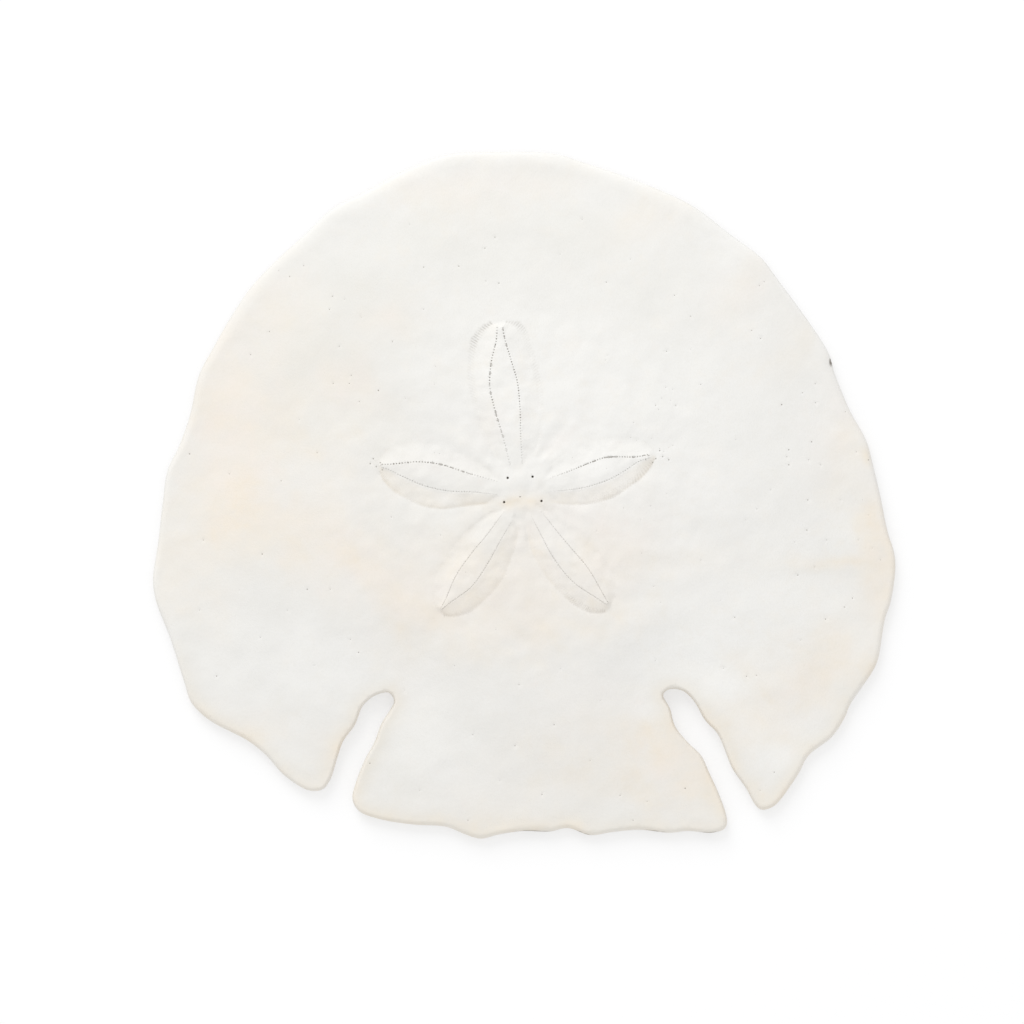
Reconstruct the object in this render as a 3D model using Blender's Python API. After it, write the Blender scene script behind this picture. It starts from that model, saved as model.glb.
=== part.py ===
"""A dried sand dollar with two open notches in its rear margin.

The test is one solid piece. Metres, +Z up, front edge towards +Y. The flat oral
side lies on z = 0, and the origin is the centre of the bounding box at that level.
Shapes below are worked out in millimetres and scaled to metres at the end.
"""

import math

import bmesh
import bpy
import numpy as np
from mathutils import Vector
from mathutils.geometry import delaunay_2d_cdt

MM = 0.001

# Heights of the test.
EDGE_HEIGHT = 2.2  # top of the margin, where the edge has rounded over
WIDEST_HEIGHT = 1.0  # level at which the margin stands out furthest
APEX_RISE = 6.2  # how far the crown stands above the margin
DOME_X = 66.0  # reach of the crown's fall, side to side
DOME_Y = 61.0  # and front to back
DOME_POWER = 1.45  # how soon the fall flattens out
THIN_SHARE = 0.4  # what is left of the rise right at the margin and the notches
THIN_REACH = 14.0  # and how far in the test thins towards them
FRONT_ROUND = 2.3  # width of the rounded upper edge at the front
REAR_ROUND = 0.8  # and at the rear
NOTCH_ROUND = 0.45  # and round the notches
NOTCHES = ((-27.0, -41.0), (29.0, -42.0))  # middles of the two notches
NOTCH_REACH = 13.0
BOTTOM_ROUND = 0.9  # width of the rounded lower edge

# The five petals stand a little proud, bounded by rows of pores.
PETAL_RISE = 0.62
FLANK_CURVE = 1.3  # above 1, the flanks steepen towards the inner rows
ROW_DEPTH = 0.16
ROW_HALF = 0.42
EDGE_ROW_DEPTH = 0.08

# The crown: a low boss with four pores round it and a small one behind.
CROWN = (-0.5, 1.05)
BOSS_RISE = 0.08
BOSS_IN, BOSS_OUT = 2.6, 7.4
PORE_RADIUS = 0.3
PORE_DEPTH = 0.75
CROWN_PORES = ((-2.8, 2.9), (1.4, 3.1), (-3.4, -1.2), (2.9, -1.0))

# Underside: mouth, hind opening, a shallow hollow and the food grooves.
MOUTH = (-0.3, 1.6)
MOUTH_RADIUS = 2.3
MOUTH_DEPTH = 3.6
HIND_OPENING = (-0.4, -48.5)
HIND_RADIUS = 1.0
HIND_DEPTH = 1.5
HOLLOW_REACH = 25.0
HOLLOW_DEPTH = 0.9
FOOD_DEPTH = 0.4
FOOD_HALF = 0.6

# Margin seen from above, clockwise from the front, in millimetres.
FRONT_RIGHT = (
    (-4.1, 58.3), (2.3, 58.3), (6.6, 57.7), (9.5, 56.7), (15.1, 54.9), (22.9, 51.9),
    (28.7, 49.1), (35.3, 44.1), (40.4, 40.2), (42.6, 37.3), (47.9, 30.1), (51.8, 24.0),
    (52.7, 20.9), (55.2, 14.7), (58.2, 9.1), (59.2, 5.5), (60.5, 0.0), (61.8, -6.3),
    (62.9, -9.8), (63.1, -12.4), (62.3, -18.2), (61.3, -21.2), (60.2, -27.7),
    (59.5, -29.5), (55.2, -36.0), (54.7, -37.4), (52.3, -41.1), (48.3, -44.3),
    (46.6, -47.4), (42.9, -52.5),
)
RIGHT_NOTCH = (
    (41.6, -53.3), (40.3, -53.5), (39.4, -52.8), (37.7, -49.8), (35.4, -46.5),
    (34.1, -43.3), (32.9, -40.6), (30.7, -38.2), (29.0, -35.2), (27.0, -33.3),
    (24.7, -33.0), (23.6, -33.9), (24.8, -36.3), (25.6, -39.2), (27.6, -41.8),
    (30.1, -44.3), (31.4, -47.1), (33.1, -50.8), (34.3, -54.2), (34.5, -55.6),
    (34.1, -56.7),
)
REAR = (
    (31.9, -57.4), (27.8, -57.1), (24.8, -57.4), (19.7, -56.9), (14.9, -57.3),
    (11.2, -57.8), (7.4, -56.6), (4.4, -57.2), (-0.2, -57.1), (-4.3, -57.7),
    (-7.4, -58.4), (-10.2, -57.6), (-13.2, -56.4), (-18.9, -56.0), (-24.9, -55.0),
    (-28.1, -53.7), (-29.2, -51.7),
)
LEFT_NOTCH = (
    (-28.5, -48.6), (-27.1, -45.0), (-25.4, -41.9), (-24.3, -38.9), (-22.8, -36.5),
    (-22.1, -35.0), (-23.0, -33.6), (-25.2, -34.0), (-27.4, -35.8), (-28.8, -39.1),
    (-30.8, -41.9), (-31.8, -44.8), (-32.9, -48.2), (-34.2, -50.0),
)
FRONT_LEFT = (
    (-36.6, -50.2), (-40.7, -47.7), (-43.9, -44.2), (-46.9, -41.8), (-53.6, -38.2),
    (-56.6, -35.2), (-57.8, -31.7), (-60.2, -24.2), (-62.6, -17.9), (-63.1, -14.4),
    (-62.2, -8.0), (-61.4, -1.1), (-60.6, 4.3), (-58.7, 8.2), (-56.8, 13.6),
    (-55.3, 20.3), (-52.9, 24.9), (-50.0, 30.0), (-46.6, 35.1), (-42.9, 39.1),
    (-36.4, 45.1), (-32.7, 48.6), (-26.2, 52.0), (-21.1, 54.8), (-14.7, 57.4),
    (-10.9, 58.2),
)

# Each petal: its direction clockwise from the front in degrees, then four rows of pores
# as (distance out from the crown, distance to the clockwise side).
PETALS = {
    "front": (
        -7.5,
        ((4.0, -1.3), (9.0, -1.9), (14.0, -2.7), (18.0, -3.0), (22.0, -2.2), (26.6, -0.9)),
        ((4.0, 0.7), (9.0, 1.1), (14.0, 1.6), (18.0, 1.7), (22.0, 1.1), (26.6, 0.5)),
        ((5.0, -3.6), (8.0, -4.3), (11.5, -5.3), (17.0, -6.0), (21.0, -5.9), (25.5, -4.8),
         (27.5, -3.2), (28.5, -1.5)),
        ((4.3, 2.7), (7.0, 3.7), (11.4, 4.8), (17.0, 5.2), (23.0, 4.5), (26.7, 3.8),
         (27.9, 2.6), (28.4, 1.1)),
    ),
    "right": (
        75.2,
        ((5.0, -0.5), (8.5, -0.8), (12.4, -1.3), (15.0, -1.5), (17.0, -1.1), (21.0, -0.3)),
        ((4.5, 1.6), (6.4, 2.0), (10.7, 2.5), (15.0, 2.2), (18.0, 1.4), (21.0, 0.6)),
        ((4.8, -2.4), (7.9, -3.7), (10.6, -4.6), (13.7, -4.8), (16.8, -4.6), (19.9, -3.7),
         (22.1, -2.6), (23.4, -0.8)),
        ((4.0, 3.2), (6.0, 4.3), (10.6, 5.4), (14.9, 5.3), (17.8, 4.3), (20.1, 3.4),
         (21.8, 2.3), (23.0, 0.9)),
    ),
    "rear_right": (
        142.9,
        ((5.0, -0.5), (8.0, -0.6), (12.0, -0.8), (17.5, -1.1), (22.5, -0.5)),
        ((4.5, 1.4), (8.0, 2.0), (12.7, 2.7), (17.8, 2.5), (22.5, 1.0)),
        ((5.0, -1.9), (8.0, -2.8), (12.0, -3.6), (16.0, -4.1), (19.5, -3.9), (22.5, -3.0),
         (24.6, -1.2)),
        ((5.2, 3.2), (7.3, 4.1), (10.0, 5.1), (12.7, 5.5), (15.8, 5.6), (18.6, 5.2),
         (21.6, 4.5), (23.8, 3.3), (25.2, 1.4)),
    ),
    "rear_left": (
        213.8,
        ((5.2, -1.7), (9.0, -1.9), (13.6, -2.3), (18.4, -2.2), (22.6, -0.8)),
        ((4.7, 0.5), (9.5, 0.8), (14.0, 1.3), (18.4, 1.3), (22.6, 0.5)),
        ((4.5, -2.8), (6.2, -3.6), (8.6, -4.6), (11.4, -5.3), (14.1, -5.8), (17.1, -5.7),
         (19.9, -5.1), (22.5, -4.2), (24.2, -2.6), (25.0, -1.1)),
        ((4.5, 2.0), (8.0, 3.0), (12.0, 3.9), (16.0, 4.3), (19.5, 4.0), (22.5, 3.0),
         (24.6, 1.2)),
    ),
    "left": (
        278.7,
        ((3.8, -1.6), (7.4, -1.7), (12.0, -2.2), (16.0, -2.0), (19.7, -1.1), (22.4, -0.4)),
        ((4.0, 0.6), (9.6, 1.3), (14.0, 2.0), (17.8, 1.9), (20.0, 1.4), (23.4, 0.5)),
        ((3.6, -2.9), (8.4, -4.2), (12.8, -5.4), (16.0, -5.4), (18.6, -4.7), (20.8, -3.9),
         (22.8, -2.6), (24.0, -1.0)),
        ((5.0, 2.4), (7.1, 3.2), (10.0, 4.1), (13.4, 4.8), (16.2, 5.3), (19.8, 4.9),
         (22.6, 4.0), (24.3, 2.0)),
    ),
}

# Knobs between the petals near the crown: place, reach and rise.
KNOBS = (
    (3.6, 6.0, 0.9, 0.2), (5.6, 8.8, 1.2, 0.2), (-5.8, 5.4, 0.9, 0.2), (-7.8, 7.8, 1.2, 0.2),
    (6.4, -1.9, 1.0, 0.16), (9.6, -3.2, 1.2, 0.2), (-0.9, -5.0, 0.9, 0.24),
    (0.1, -6.6, 0.9, 0.24), (-1.6, -6.5, 0.8, 0.2), (-0.6, -8.6, 1.1, 0.18),
    (-7.2, -2.7, 1.0, 0.18), (-9.9, -4.2, 1.2, 0.2),
)

# Broad, low swellings and hollows of the upper side: place, reach and rise.
SWELLS = (
    (31.0, 31.0, 12.0, 0.28), (-30.0, 30.0, 12.0, 0.26), (45.0, -14.0, 13.0, 0.3),
    (-45.0, -13.0, 13.0, 0.3), (0.5, -33.0, 13.0, 0.34), (42.0, 8.0, 9.0, -0.18),
    (-42.0, 6.0, 9.0, -0.18), (-3.5, 42.0, 9.0, -0.16), (22.0, -24.0, 7.0, -0.06),
    (-22.0, -24.0, 7.0, -0.06), (14.0, -46.0, 8.0, 0.16), (-14.0, -45.0, 8.0, 0.16),
)


def smooth_curve(points, closed, step):
    """Points about a step apart along a smooth curve through the given ones."""
    pts = [np.array(p, float) for p in points]
    if closed:
        pts = [pts[-1]] + pts + pts[:2]
    else:
        pts = [2 * pts[0] - pts[1]] + pts + [2 * pts[-1] - pts[-2]]
    out = []
    for a, b, c, d in zip(pts, pts[1:], pts[2:], pts[3:]):
        count = max(2, int(math.dist(b, c) / step))
        ta = math.sqrt(math.dist(a, b))
        tb = math.sqrt(math.dist(b, c))
        tc = math.sqrt(math.dist(c, d))
        m1 = (c - b) + tb * ((b - a) / ta - (c - a) / (ta + tb))
        m2 = (c - b) + tb * ((d - c) / tc - (d - b) / (tb + tc))
        for i in range(count):
            u = i / count
            h = ((2 * u - 3) * u * u + 1, (u - 2) * u * u + u, (3 - 2 * u) * u * u, (u - 1) * u * u)
            out.append(h[0] * b + h[1] * m1 + h[2] * c + h[3] * m2)
    if not closed:
        out.append(pts[-2])
    return np.array(out)


def resample(curve, closed, step, turn):
    """Fewer points on a fine curve: a step apart, and closer where it turns."""
    ahead = np.roll(curve, -1, axis=0) - curve
    heading = np.unwrap(np.arctan2(ahead[:, 1], ahead[:, 0]))
    length = np.linalg.norm(ahead, axis=1)
    bend = np.abs(np.diff(heading, append=heading[-1]))
    cost = length / step + bend / turn
    if not closed:
        cost = cost[:-1]
    run = np.concatenate([[0.0], np.cumsum(cost)])
    count = max(2, int(round(run[-1])))
    at = np.linspace(0.0, run[-1], count + 1)
    path = np.vstack([curve, curve[:1]]) if closed else curve
    found = np.column_stack([np.interp(at, run, path[:, i]) for i in range(2)])
    return found[:-1] if closed else found


def distance_to(points, path, closed):
    """Distance from each point to a path of straight pieces."""
    ends = np.roll(path, -1, axis=0) if closed else path[1:]
    starts = path if closed else path[:-1]
    best = np.full(len(points), 1e9)
    for a, b in zip(starts, ends):
        ab = b - a
        t = np.clip((points - a) @ ab / max(ab @ ab, 1e-12), 0.0, 1.0)
        gap = np.linalg.norm(points - a - t[:, None] * ab, axis=1)
        best = np.minimum(best, gap)
    return best


def from_margin(points, loop):
    """Distance in from the margin, exactly 0 on it."""
    gap = distance_to(points, loop, True)
    return np.where(gap < 1e-3, 0.0, gap)


def inside(points, loop):
    """True for each point within a closed loop."""
    x, y = points[:, 0], points[:, 1]
    found = np.zeros(len(points), bool)
    for (ax, ay), (bx, by) in zip(loop, np.roll(loop, -1, axis=0)):
        if ay != by:
            crosses = (ay > y) != (by > y)
            found ^= crosses & (x < (bx - ax) * (y - ay) / (by - ay) + ax)
    return found


def margin():
    """The outline, centred on the origin."""
    loop = smooth_curve(FRONT_RIGHT + RIGHT_NOTCH + REAR + LEFT_NOTCH + FRONT_LEFT, True, 0.3)
    return loop - (loop.min(axis=0) + loop.max(axis=0)) / 2


def petal_point(angle, out, aside):
    a = math.radians(angle)
    x = CROWN[0] + out * math.sin(a) + aside * math.cos(a)
    y = CROWN[1] + out * math.cos(a) - aside * math.sin(a)
    return (x, y)


def petal_rows(name):
    """The two inner rows, the field between them and the edge round the tip of one petal."""
    angle, inner_a, inner_b, outer_a, outer_b = PETALS[name]
    place = [[petal_point(angle, *p) for p in row] for row in PETALS[name][1:]]
    rows = [smooth_curve(place[0], False, 0.3), smooth_curve(place[1], False, 0.3)]
    edge = smooth_curve(place[2] + place[3][::-1], False, 0.3)
    field = np.vstack([rows[0], rows[1][::-1], [CROWN]])
    return rows, field, edge


def smooth_step(t):
    t = np.clip(t, 0.0, 1.0)
    return t * t * (3 - 2 * t)


def blob(points, x, y, reach):
    return np.exp(-((points[:, 0] - x) ** 2 + (points[:, 1] - y) ** 2) / reach**2)


def upper_height(points, outline, petals):
    """Height of the upper side in millimetres."""
    x, y = points[:, 0], points[:, 1]
    away = (x - CROWN[0]) ** 2 / DOME_X**2 + (y - CROWN[1]) ** 2 / DOME_Y**2
    dome = APEX_RISE * np.clip(1 - away, 0.0, 1.0) ** DOME_POWER
    relief = sum(rise * blob(points, cx, cy, reach) for cx, cy, reach, rise in SWELLS)
    relief += sum(rise * blob(points, cx, cy, reach) for cx, cy, reach, rise in KNOBS)
    mound = np.zeros(len(points))
    for rows, field, edge in petals:
        gap = distance_to(points, edge, False)
        to_field = distance_to(points, field, True)
        wedge = np.vstack([edge, [CROWN]])
        ramp = np.where(inside(points, wedge), gap / (gap + to_field + 1e-6), 0.0) ** FLANK_CURVE
        ramp = np.where(inside(points, field), 1.0 + 0.12 * smooth_step(to_field / 1.2), ramp)
        mound = np.maximum(mound, PETAL_RISE * ramp)
        relief -= EDGE_ROW_DEPTH * np.clip(1 - gap / ROW_HALF, 0.0, 1.0)
        for row in rows:
            gap = distance_to(points, row, False)
            relief -= ROW_DEPTH * np.clip(1 - gap / ROW_HALF, 0.0, 1.0)
    from_crown = np.hypot(x - CROWN[0], y - CROWN[1])
    boss = smooth_step((BOSS_OUT - from_crown) / (BOSS_OUT - BOSS_IN))
    mound = np.maximum(mound, (PETAL_RISE + BOSS_RISE) * boss)
    rim = from_margin(points, outline)
    fade = smooth_step(rim / 6.0)
    thin = THIN_SHARE + (1 - THIN_SHARE) * smooth_step(rim / THIN_REACH)
    full = EDGE_HEIGHT + dome * thin + mound + relief * fade
    wide = REAR_ROUND + (FRONT_ROUND - REAR_ROUND) * smooth_step((y + 5.0) / 50.0)
    notched = np.clip(1.3 * sum(blob(points, nx, ny, NOTCH_REACH) for nx, ny in NOTCHES), 0, 1)
    turn = np.clip(rim / (wide + (NOTCH_ROUND - wide) * notched), 0.0, 1.0)
    rounding = np.sqrt(1 - (1 - turn) ** 2)
    return WIDEST_HEIGHT + (full - WIDEST_HEIGHT) * rounding


def lower_height(points, outline, grooves):
    """Height of the underside in millimetres."""
    rim = from_margin(points, outline)
    turn = np.clip(rim / BOTTOM_ROUND, 0.0, 1.0)
    height = WIDEST_HEIGHT * (1 - np.sqrt(1 - (1 - turn) ** 2))
    from_mouth = np.hypot(points[:, 0] - MOUTH[0], points[:, 1] - MOUTH[1])
    height = height + HOLLOW_DEPTH * np.clip(1 - (from_mouth / HOLLOW_REACH) ** 2, 0, 1) ** 2
    cut = np.zeros(len(points))
    for groove in grooves:
        gap = distance_to(points, groove, False)
        cut = np.maximum(cut, FOOD_DEPTH * np.clip(1 - gap / FOOD_HALF, 0.0, 1.0))
    return height + cut


def food_grooves(outline):
    """Each ray leaves the mouth as one groove and soon parts into two."""
    paths = []
    for angle, *_ in PETALS.values():
        stem = [petal_point(angle, out, 0.0) for out in (3.6, 5.0, 7.0)]
        paths.append(smooth_curve(stem, False, 0.3))
        for side in (-1, 1):
            arm = []
            for out, swing in ((7.0, 0), (10.0, 9), (16.0, 15), (25.0, 18), (36.0, 18), (44.0, 16), (50.0, 13)):
                arm.append(petal_point(angle + side * swing, out, 0.0))
            arm = smooth_curve(arm, False, 0.3)
            keep = inside(arm, outline) & (distance_to(arm, outline, True) > 4.5)
            paths.append(arm[keep])
    return paths


def beside(path, gap):
    """The same path moved to one side."""
    along = np.gradient(path, axis=0)
    along /= np.linalg.norm(along, axis=1)[:, None]
    return path + gap * np.column_stack([-along[:, 1], along[:, 0]])


class Sheet:
    """Points and lines in plan that a surface is laid through."""

    def __init__(self, outline, loop):
        self.outline = outline
        self.loop = loop
        self.points = []
        self.lines = []
        self.holes = []

    def room(self, path, gap):
        """True where a point is clear of the points already there."""
        if not self.points:
            return np.ones(len(path), bool)
        have = np.array(self.points)
        clear = [np.min(np.linalg.norm(have - p, axis=1)) > gap for p in path]
        for hx, hy, reach in self.holes:
            clear &= np.hypot(path[:, 0] - hx, path[:, 1] - hy) > reach
        return np.array(clear)

    def line(self, path, closed=False, gap=0.25, keep=True):
        """Adds a path and keeps its neighbouring points joined."""
        free = self.room(path, gap) & keep
        first = len(self.points)
        names = []
        for point, good in zip(path, free):
            names.append(len(self.points) if good else None)
            if good:
                self.points.append(point)
        pairs = list(zip(names, names[1:]))
        if closed:
            pairs.append((names[-1], names[0]))
        self.lines += [(a, b) for a, b in pairs if a is not None and b is not None]
        return first

    def scatter(self, path, gap):
        for point in path:
            if self.room(point[None], gap)[0]:
                self.points.append(point)

    def pit(self, centre, radii, sides, start=0.0):
        """Rings of points round a round opening, with one at its centre."""
        for radius in radii:
            turn = np.arange(sides) * math.tau / sides + start
            ring = np.array(centre) + radius * np.column_stack([np.cos(turn), np.sin(turn)])
            self.line(ring, True, 0.05)
        self.points.append(np.array(centre, float))
        self.holes.append((centre[0], centre[1], max(radii) + 0.3))

    def triangles(self):
        pts = [Vector((float(x), float(y))) for x, y in self.points]
        found = delaunay_2d_cdt(pts, self.lines, [], 0, 1e-4, False)
        places = np.array([tuple(v) for v in found[0]])
        faces = np.array([tuple(face) for face in found[2]])
        within = inside(places[faces].mean(axis=1), self.loop)
        return places, faces[within].tolist()


def inset_rings(sheet, loop, depths, thin_after):
    """Rings of points inside the margin at the given depths."""
    along = np.roll(loop, -1, axis=0) - np.roll(loop, 1, axis=0)
    along /= np.linalg.norm(along, axis=1)[:, None]
    inward = np.column_stack([along[:, 1], -along[:, 0]])
    for depth in depths:
        ring = loop + inward * depth
        if depth > thin_after:
            ring = ring[::2]
        true = distance_to(ring, sheet.outline, True)
        keep = (true > 0.93 * depth) & inside(ring, sheet.outline)
        sheet.line(ring, True, 0.24 * min(depth, 2.0), keep)


def filler(outline, step, clear_of_edge):
    """An even lattice of points inside the margin."""
    rows = []
    for j, y in enumerate(np.arange(-57, 58, step * 0.866)):
        shift = step / 2 if j % 2 else 0.0
        rows += [(x + shift, y) for x in np.arange(-63, 63, step)]
    rows = np.array(rows)
    rows = rows[inside(rows, outline)]
    return rows[distance_to(rows, outline, True) > clear_of_edge]


def upper_sheet(outline, loop, petals):
    sheet = Sheet(outline, loop)
    sheet.line(loop, True, 0.0)
    for centre in CROWN_PORES:
        sheet.pit(centre, (PORE_RADIUS, PORE_RADIUS * 0.55), 6)
    inset_rings(sheet, loop, (0.22, 0.75, 1.5, 2.4, 4.2), 2.0)
    for rows, _, edge in petals:
        for row in rows:
            path = resample(row, False, 2.0, 0.5)
            for gap in (0.0, -ROW_HALF, ROW_HALF):
                sheet.line(beside(path, gap), False, 0.3)
        path = resample(edge, False, 1.9, 0.5)
        sheet.line(path, False, 0.3)
        for gap in (-ROW_HALF, ROW_HALF, 1.3):
            sheet.line(beside(path, -gap), False, 0.42)
    for radius, sides in ((BOSS_IN, 14), (BOSS_OUT, 22), (1.2, 6)):
        turn = np.arange(sides) * math.tau / sides
        ring = np.column_stack([np.cos(turn), np.sin(turn)]) * radius + CROWN
        sheet.scatter(ring, 0.5)
    for x, y, reach, _ in KNOBS:
        sheet.scatter(np.array([(x, y)]), 0.35)
        turn = np.arange(6) * math.tau / 6
        ring = np.column_stack([np.cos(turn), np.sin(turn)]) * reach + (x, y)
        sheet.scatter(ring, 0.6)
    sheet.scatter(filler(outline, 4.0, 4.0), 2.0)
    return sheet


def lower_sheet(outline, loop, grooves):
    sheet = Sheet(outline, loop)
    sheet.line(loop, True, 0.0)
    sheet.pit(MOUTH, (MOUTH_RADIUS, MOUTH_RADIUS * 0.72, MOUTH_RADIUS * 0.4), 15, math.tau / 4)
    sheet.pit(HIND_OPENING, (HIND_RADIUS, HIND_RADIUS * 0.6), 8)
    inset_rings(sheet, loop, (0.3, 1.2, 3.5), 2.0)
    for groove in grooves:
        path = resample(groove, False, 3.0, 0.5)
        for gap in (0.0, -FOOD_HALF, FOOD_HALF):
            sheet.line(beside(path, gap), False, 0.4)
    near = filler(outline, 4.6, 5.0)
    near = near[np.hypot(near[:, 0], near[:, 1]) < HOLLOW_REACH + 2]
    sheet.scatter(near, 2.2)
    sheet.scatter(filler(outline, 8.0, 5.0), 4.0)
    return sheet


def sink(places, heights, centre, radius, depth, side):
    """A round pit: steep at its edge, with a flat bottom."""
    away = np.hypot(places[:, 0] - centre[0], places[:, 1] - centre[1])
    t = np.clip((radius - away) / (radius * 0.5), 0.0, 1.0)
    return heights - side * depth * np.sin(t * math.pi / 2)


def make_shell():
    outline = margin()
    loop = resample(outline, True, 2.1, 0.42)
    petals = [petal_rows(name) for name in PETALS]
    grooves = food_grooves(outline)

    top, top_faces = upper_sheet(outline, loop, petals).triangles()
    top_z = upper_height(top, loop, petals)
    for centre in CROWN_PORES:
        top_z = sink(top, top_z, centre, PORE_RADIUS, PORE_DEPTH, 1)

    low, low_faces = lower_sheet(outline, loop, grooves).triangles()
    low_z = lower_height(low, loop, grooves)
    low_z = sink(low, low_z, MOUTH, MOUTH_RADIUS, MOUTH_DEPTH, -1)
    low_z = sink(low, low_z, HIND_OPENING, HIND_RADIUS, HIND_DEPTH, -1)

    mesh = bpy.data.meshes.new("shell")
    bm = bmesh.new()
    for places, heights, faces, turn in ((top, top_z, top_faces, 1), (low, low_z, low_faces, -1)):
        verts = [bm.verts.new((x * MM, y * MM, z * MM)) for (x, y), z in zip(places, heights)]
        for face in faces:
            bm.faces.new([verts[i] for i in face[::turn]])
    bmesh.ops.remove_doubles(bm, verts=bm.verts, dist=2e-6)
    bmesh.ops.triangulate(bm, faces=bm.faces)
    bmesh.ops.recalc_face_normals(bm, faces=bm.faces)
    bm.to_mesh(mesh)
    bm.free()
    mesh.shade_smooth()
    mesh.set_sharp_from_angle(angle=math.radians(55))
    shell = bpy.data.objects.new("shell", mesh)
    bpy.context.scene.collection.objects.link(shell)
    return shell


def chalky(name):
    """Bare, dry lime with a warm off-white colour."""
    mat = bpy.data.materials.new(name)
    mat.use_nodes = True
    node = mat.node_tree.nodes["Principled BSDF"]
    node.inputs["Base Color"].default_value = (0.83, 0.8, 0.72, 1.0)
    node.inputs["Roughness"].default_value = 0.72
    node.inputs["Metallic"].default_value = 0.0
    return mat


for old in list(bpy.data.objects):
    bpy.data.objects.remove(old, do_unlink=True)

shell = make_shell()
shell.data.materials.append(chalky("dry_test"))
print(len(shell.data.polygons), "triangles")
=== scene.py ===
"""Looks of the sand dollar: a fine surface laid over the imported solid, its material, light and camera."""

import math

import bpy
import numpy as np
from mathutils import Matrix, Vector, noise
from mathutils.geometry import delaunay_2d_cdt


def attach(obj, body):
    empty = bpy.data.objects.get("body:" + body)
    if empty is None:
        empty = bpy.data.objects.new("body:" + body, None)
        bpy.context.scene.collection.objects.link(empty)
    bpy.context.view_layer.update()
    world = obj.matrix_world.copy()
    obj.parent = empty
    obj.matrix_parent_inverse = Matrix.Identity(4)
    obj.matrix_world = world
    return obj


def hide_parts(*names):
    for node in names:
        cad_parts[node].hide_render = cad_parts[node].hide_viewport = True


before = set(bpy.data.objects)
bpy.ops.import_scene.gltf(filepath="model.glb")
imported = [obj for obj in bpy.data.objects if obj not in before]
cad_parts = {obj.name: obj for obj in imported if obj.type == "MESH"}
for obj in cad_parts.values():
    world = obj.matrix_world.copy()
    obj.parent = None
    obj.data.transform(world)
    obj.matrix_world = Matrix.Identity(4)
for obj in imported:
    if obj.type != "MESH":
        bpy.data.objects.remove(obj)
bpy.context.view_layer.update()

MM = 0.001
PX = 0.17  # millimetres to one pixel of the picture
PICTURE = 1024  # pixels along each side of the picture
MIDDLE = (524.2, 495.2)  # the pixel over the part's origin

# Heights and places on the test, in millimetres, as in the solid.
EDGE_HEIGHT = 2.2
WIDEST_HEIGHT = 1.0
APEX_RISE = 6.2
DOME_X, DOME_Y, DOME_POWER = 66.0, 61.0, 1.45
THIN_SHARE, THIN_REACH = 0.4, 14.0
FRONT_ROUND, REAR_ROUND, NOTCH_ROUND, BOTTOM_ROUND = 2.3, 0.8, 0.45, 0.9
NOTCHES = ((-27.0, -41.0), (29.0, -42.0))
NOTCH_REACH = 13.0
PETAL_RISE, PETAL_REACH = 0.62, 31.0
CROWN = (-0.5, 1.05)
BOSS_RISE = 0.08
BOSS_IN, BOSS_OUT = 2.6, 7.4
CROWN_PORES = ((-2.8, 2.9), (1.4, 3.1), (-3.4, -1.2), (2.9, -1.0))
SMALL_PORE = (-0.7, -0.3)
MOUTH = (-0.3, 1.6)
MOUTH_RADIUS, MOUTH_DEPTH = 2.3, 3.6
HIND_OPENING = (-0.4, -48.5)
HIND_RADIUS, HIND_DEPTH = 1.0, 1.5
HOLLOW_REACH, HOLLOW_DEPTH = 25.0, 0.9
FOOD_DEPTH, FOOD_HALF = 0.4, 0.6

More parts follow.
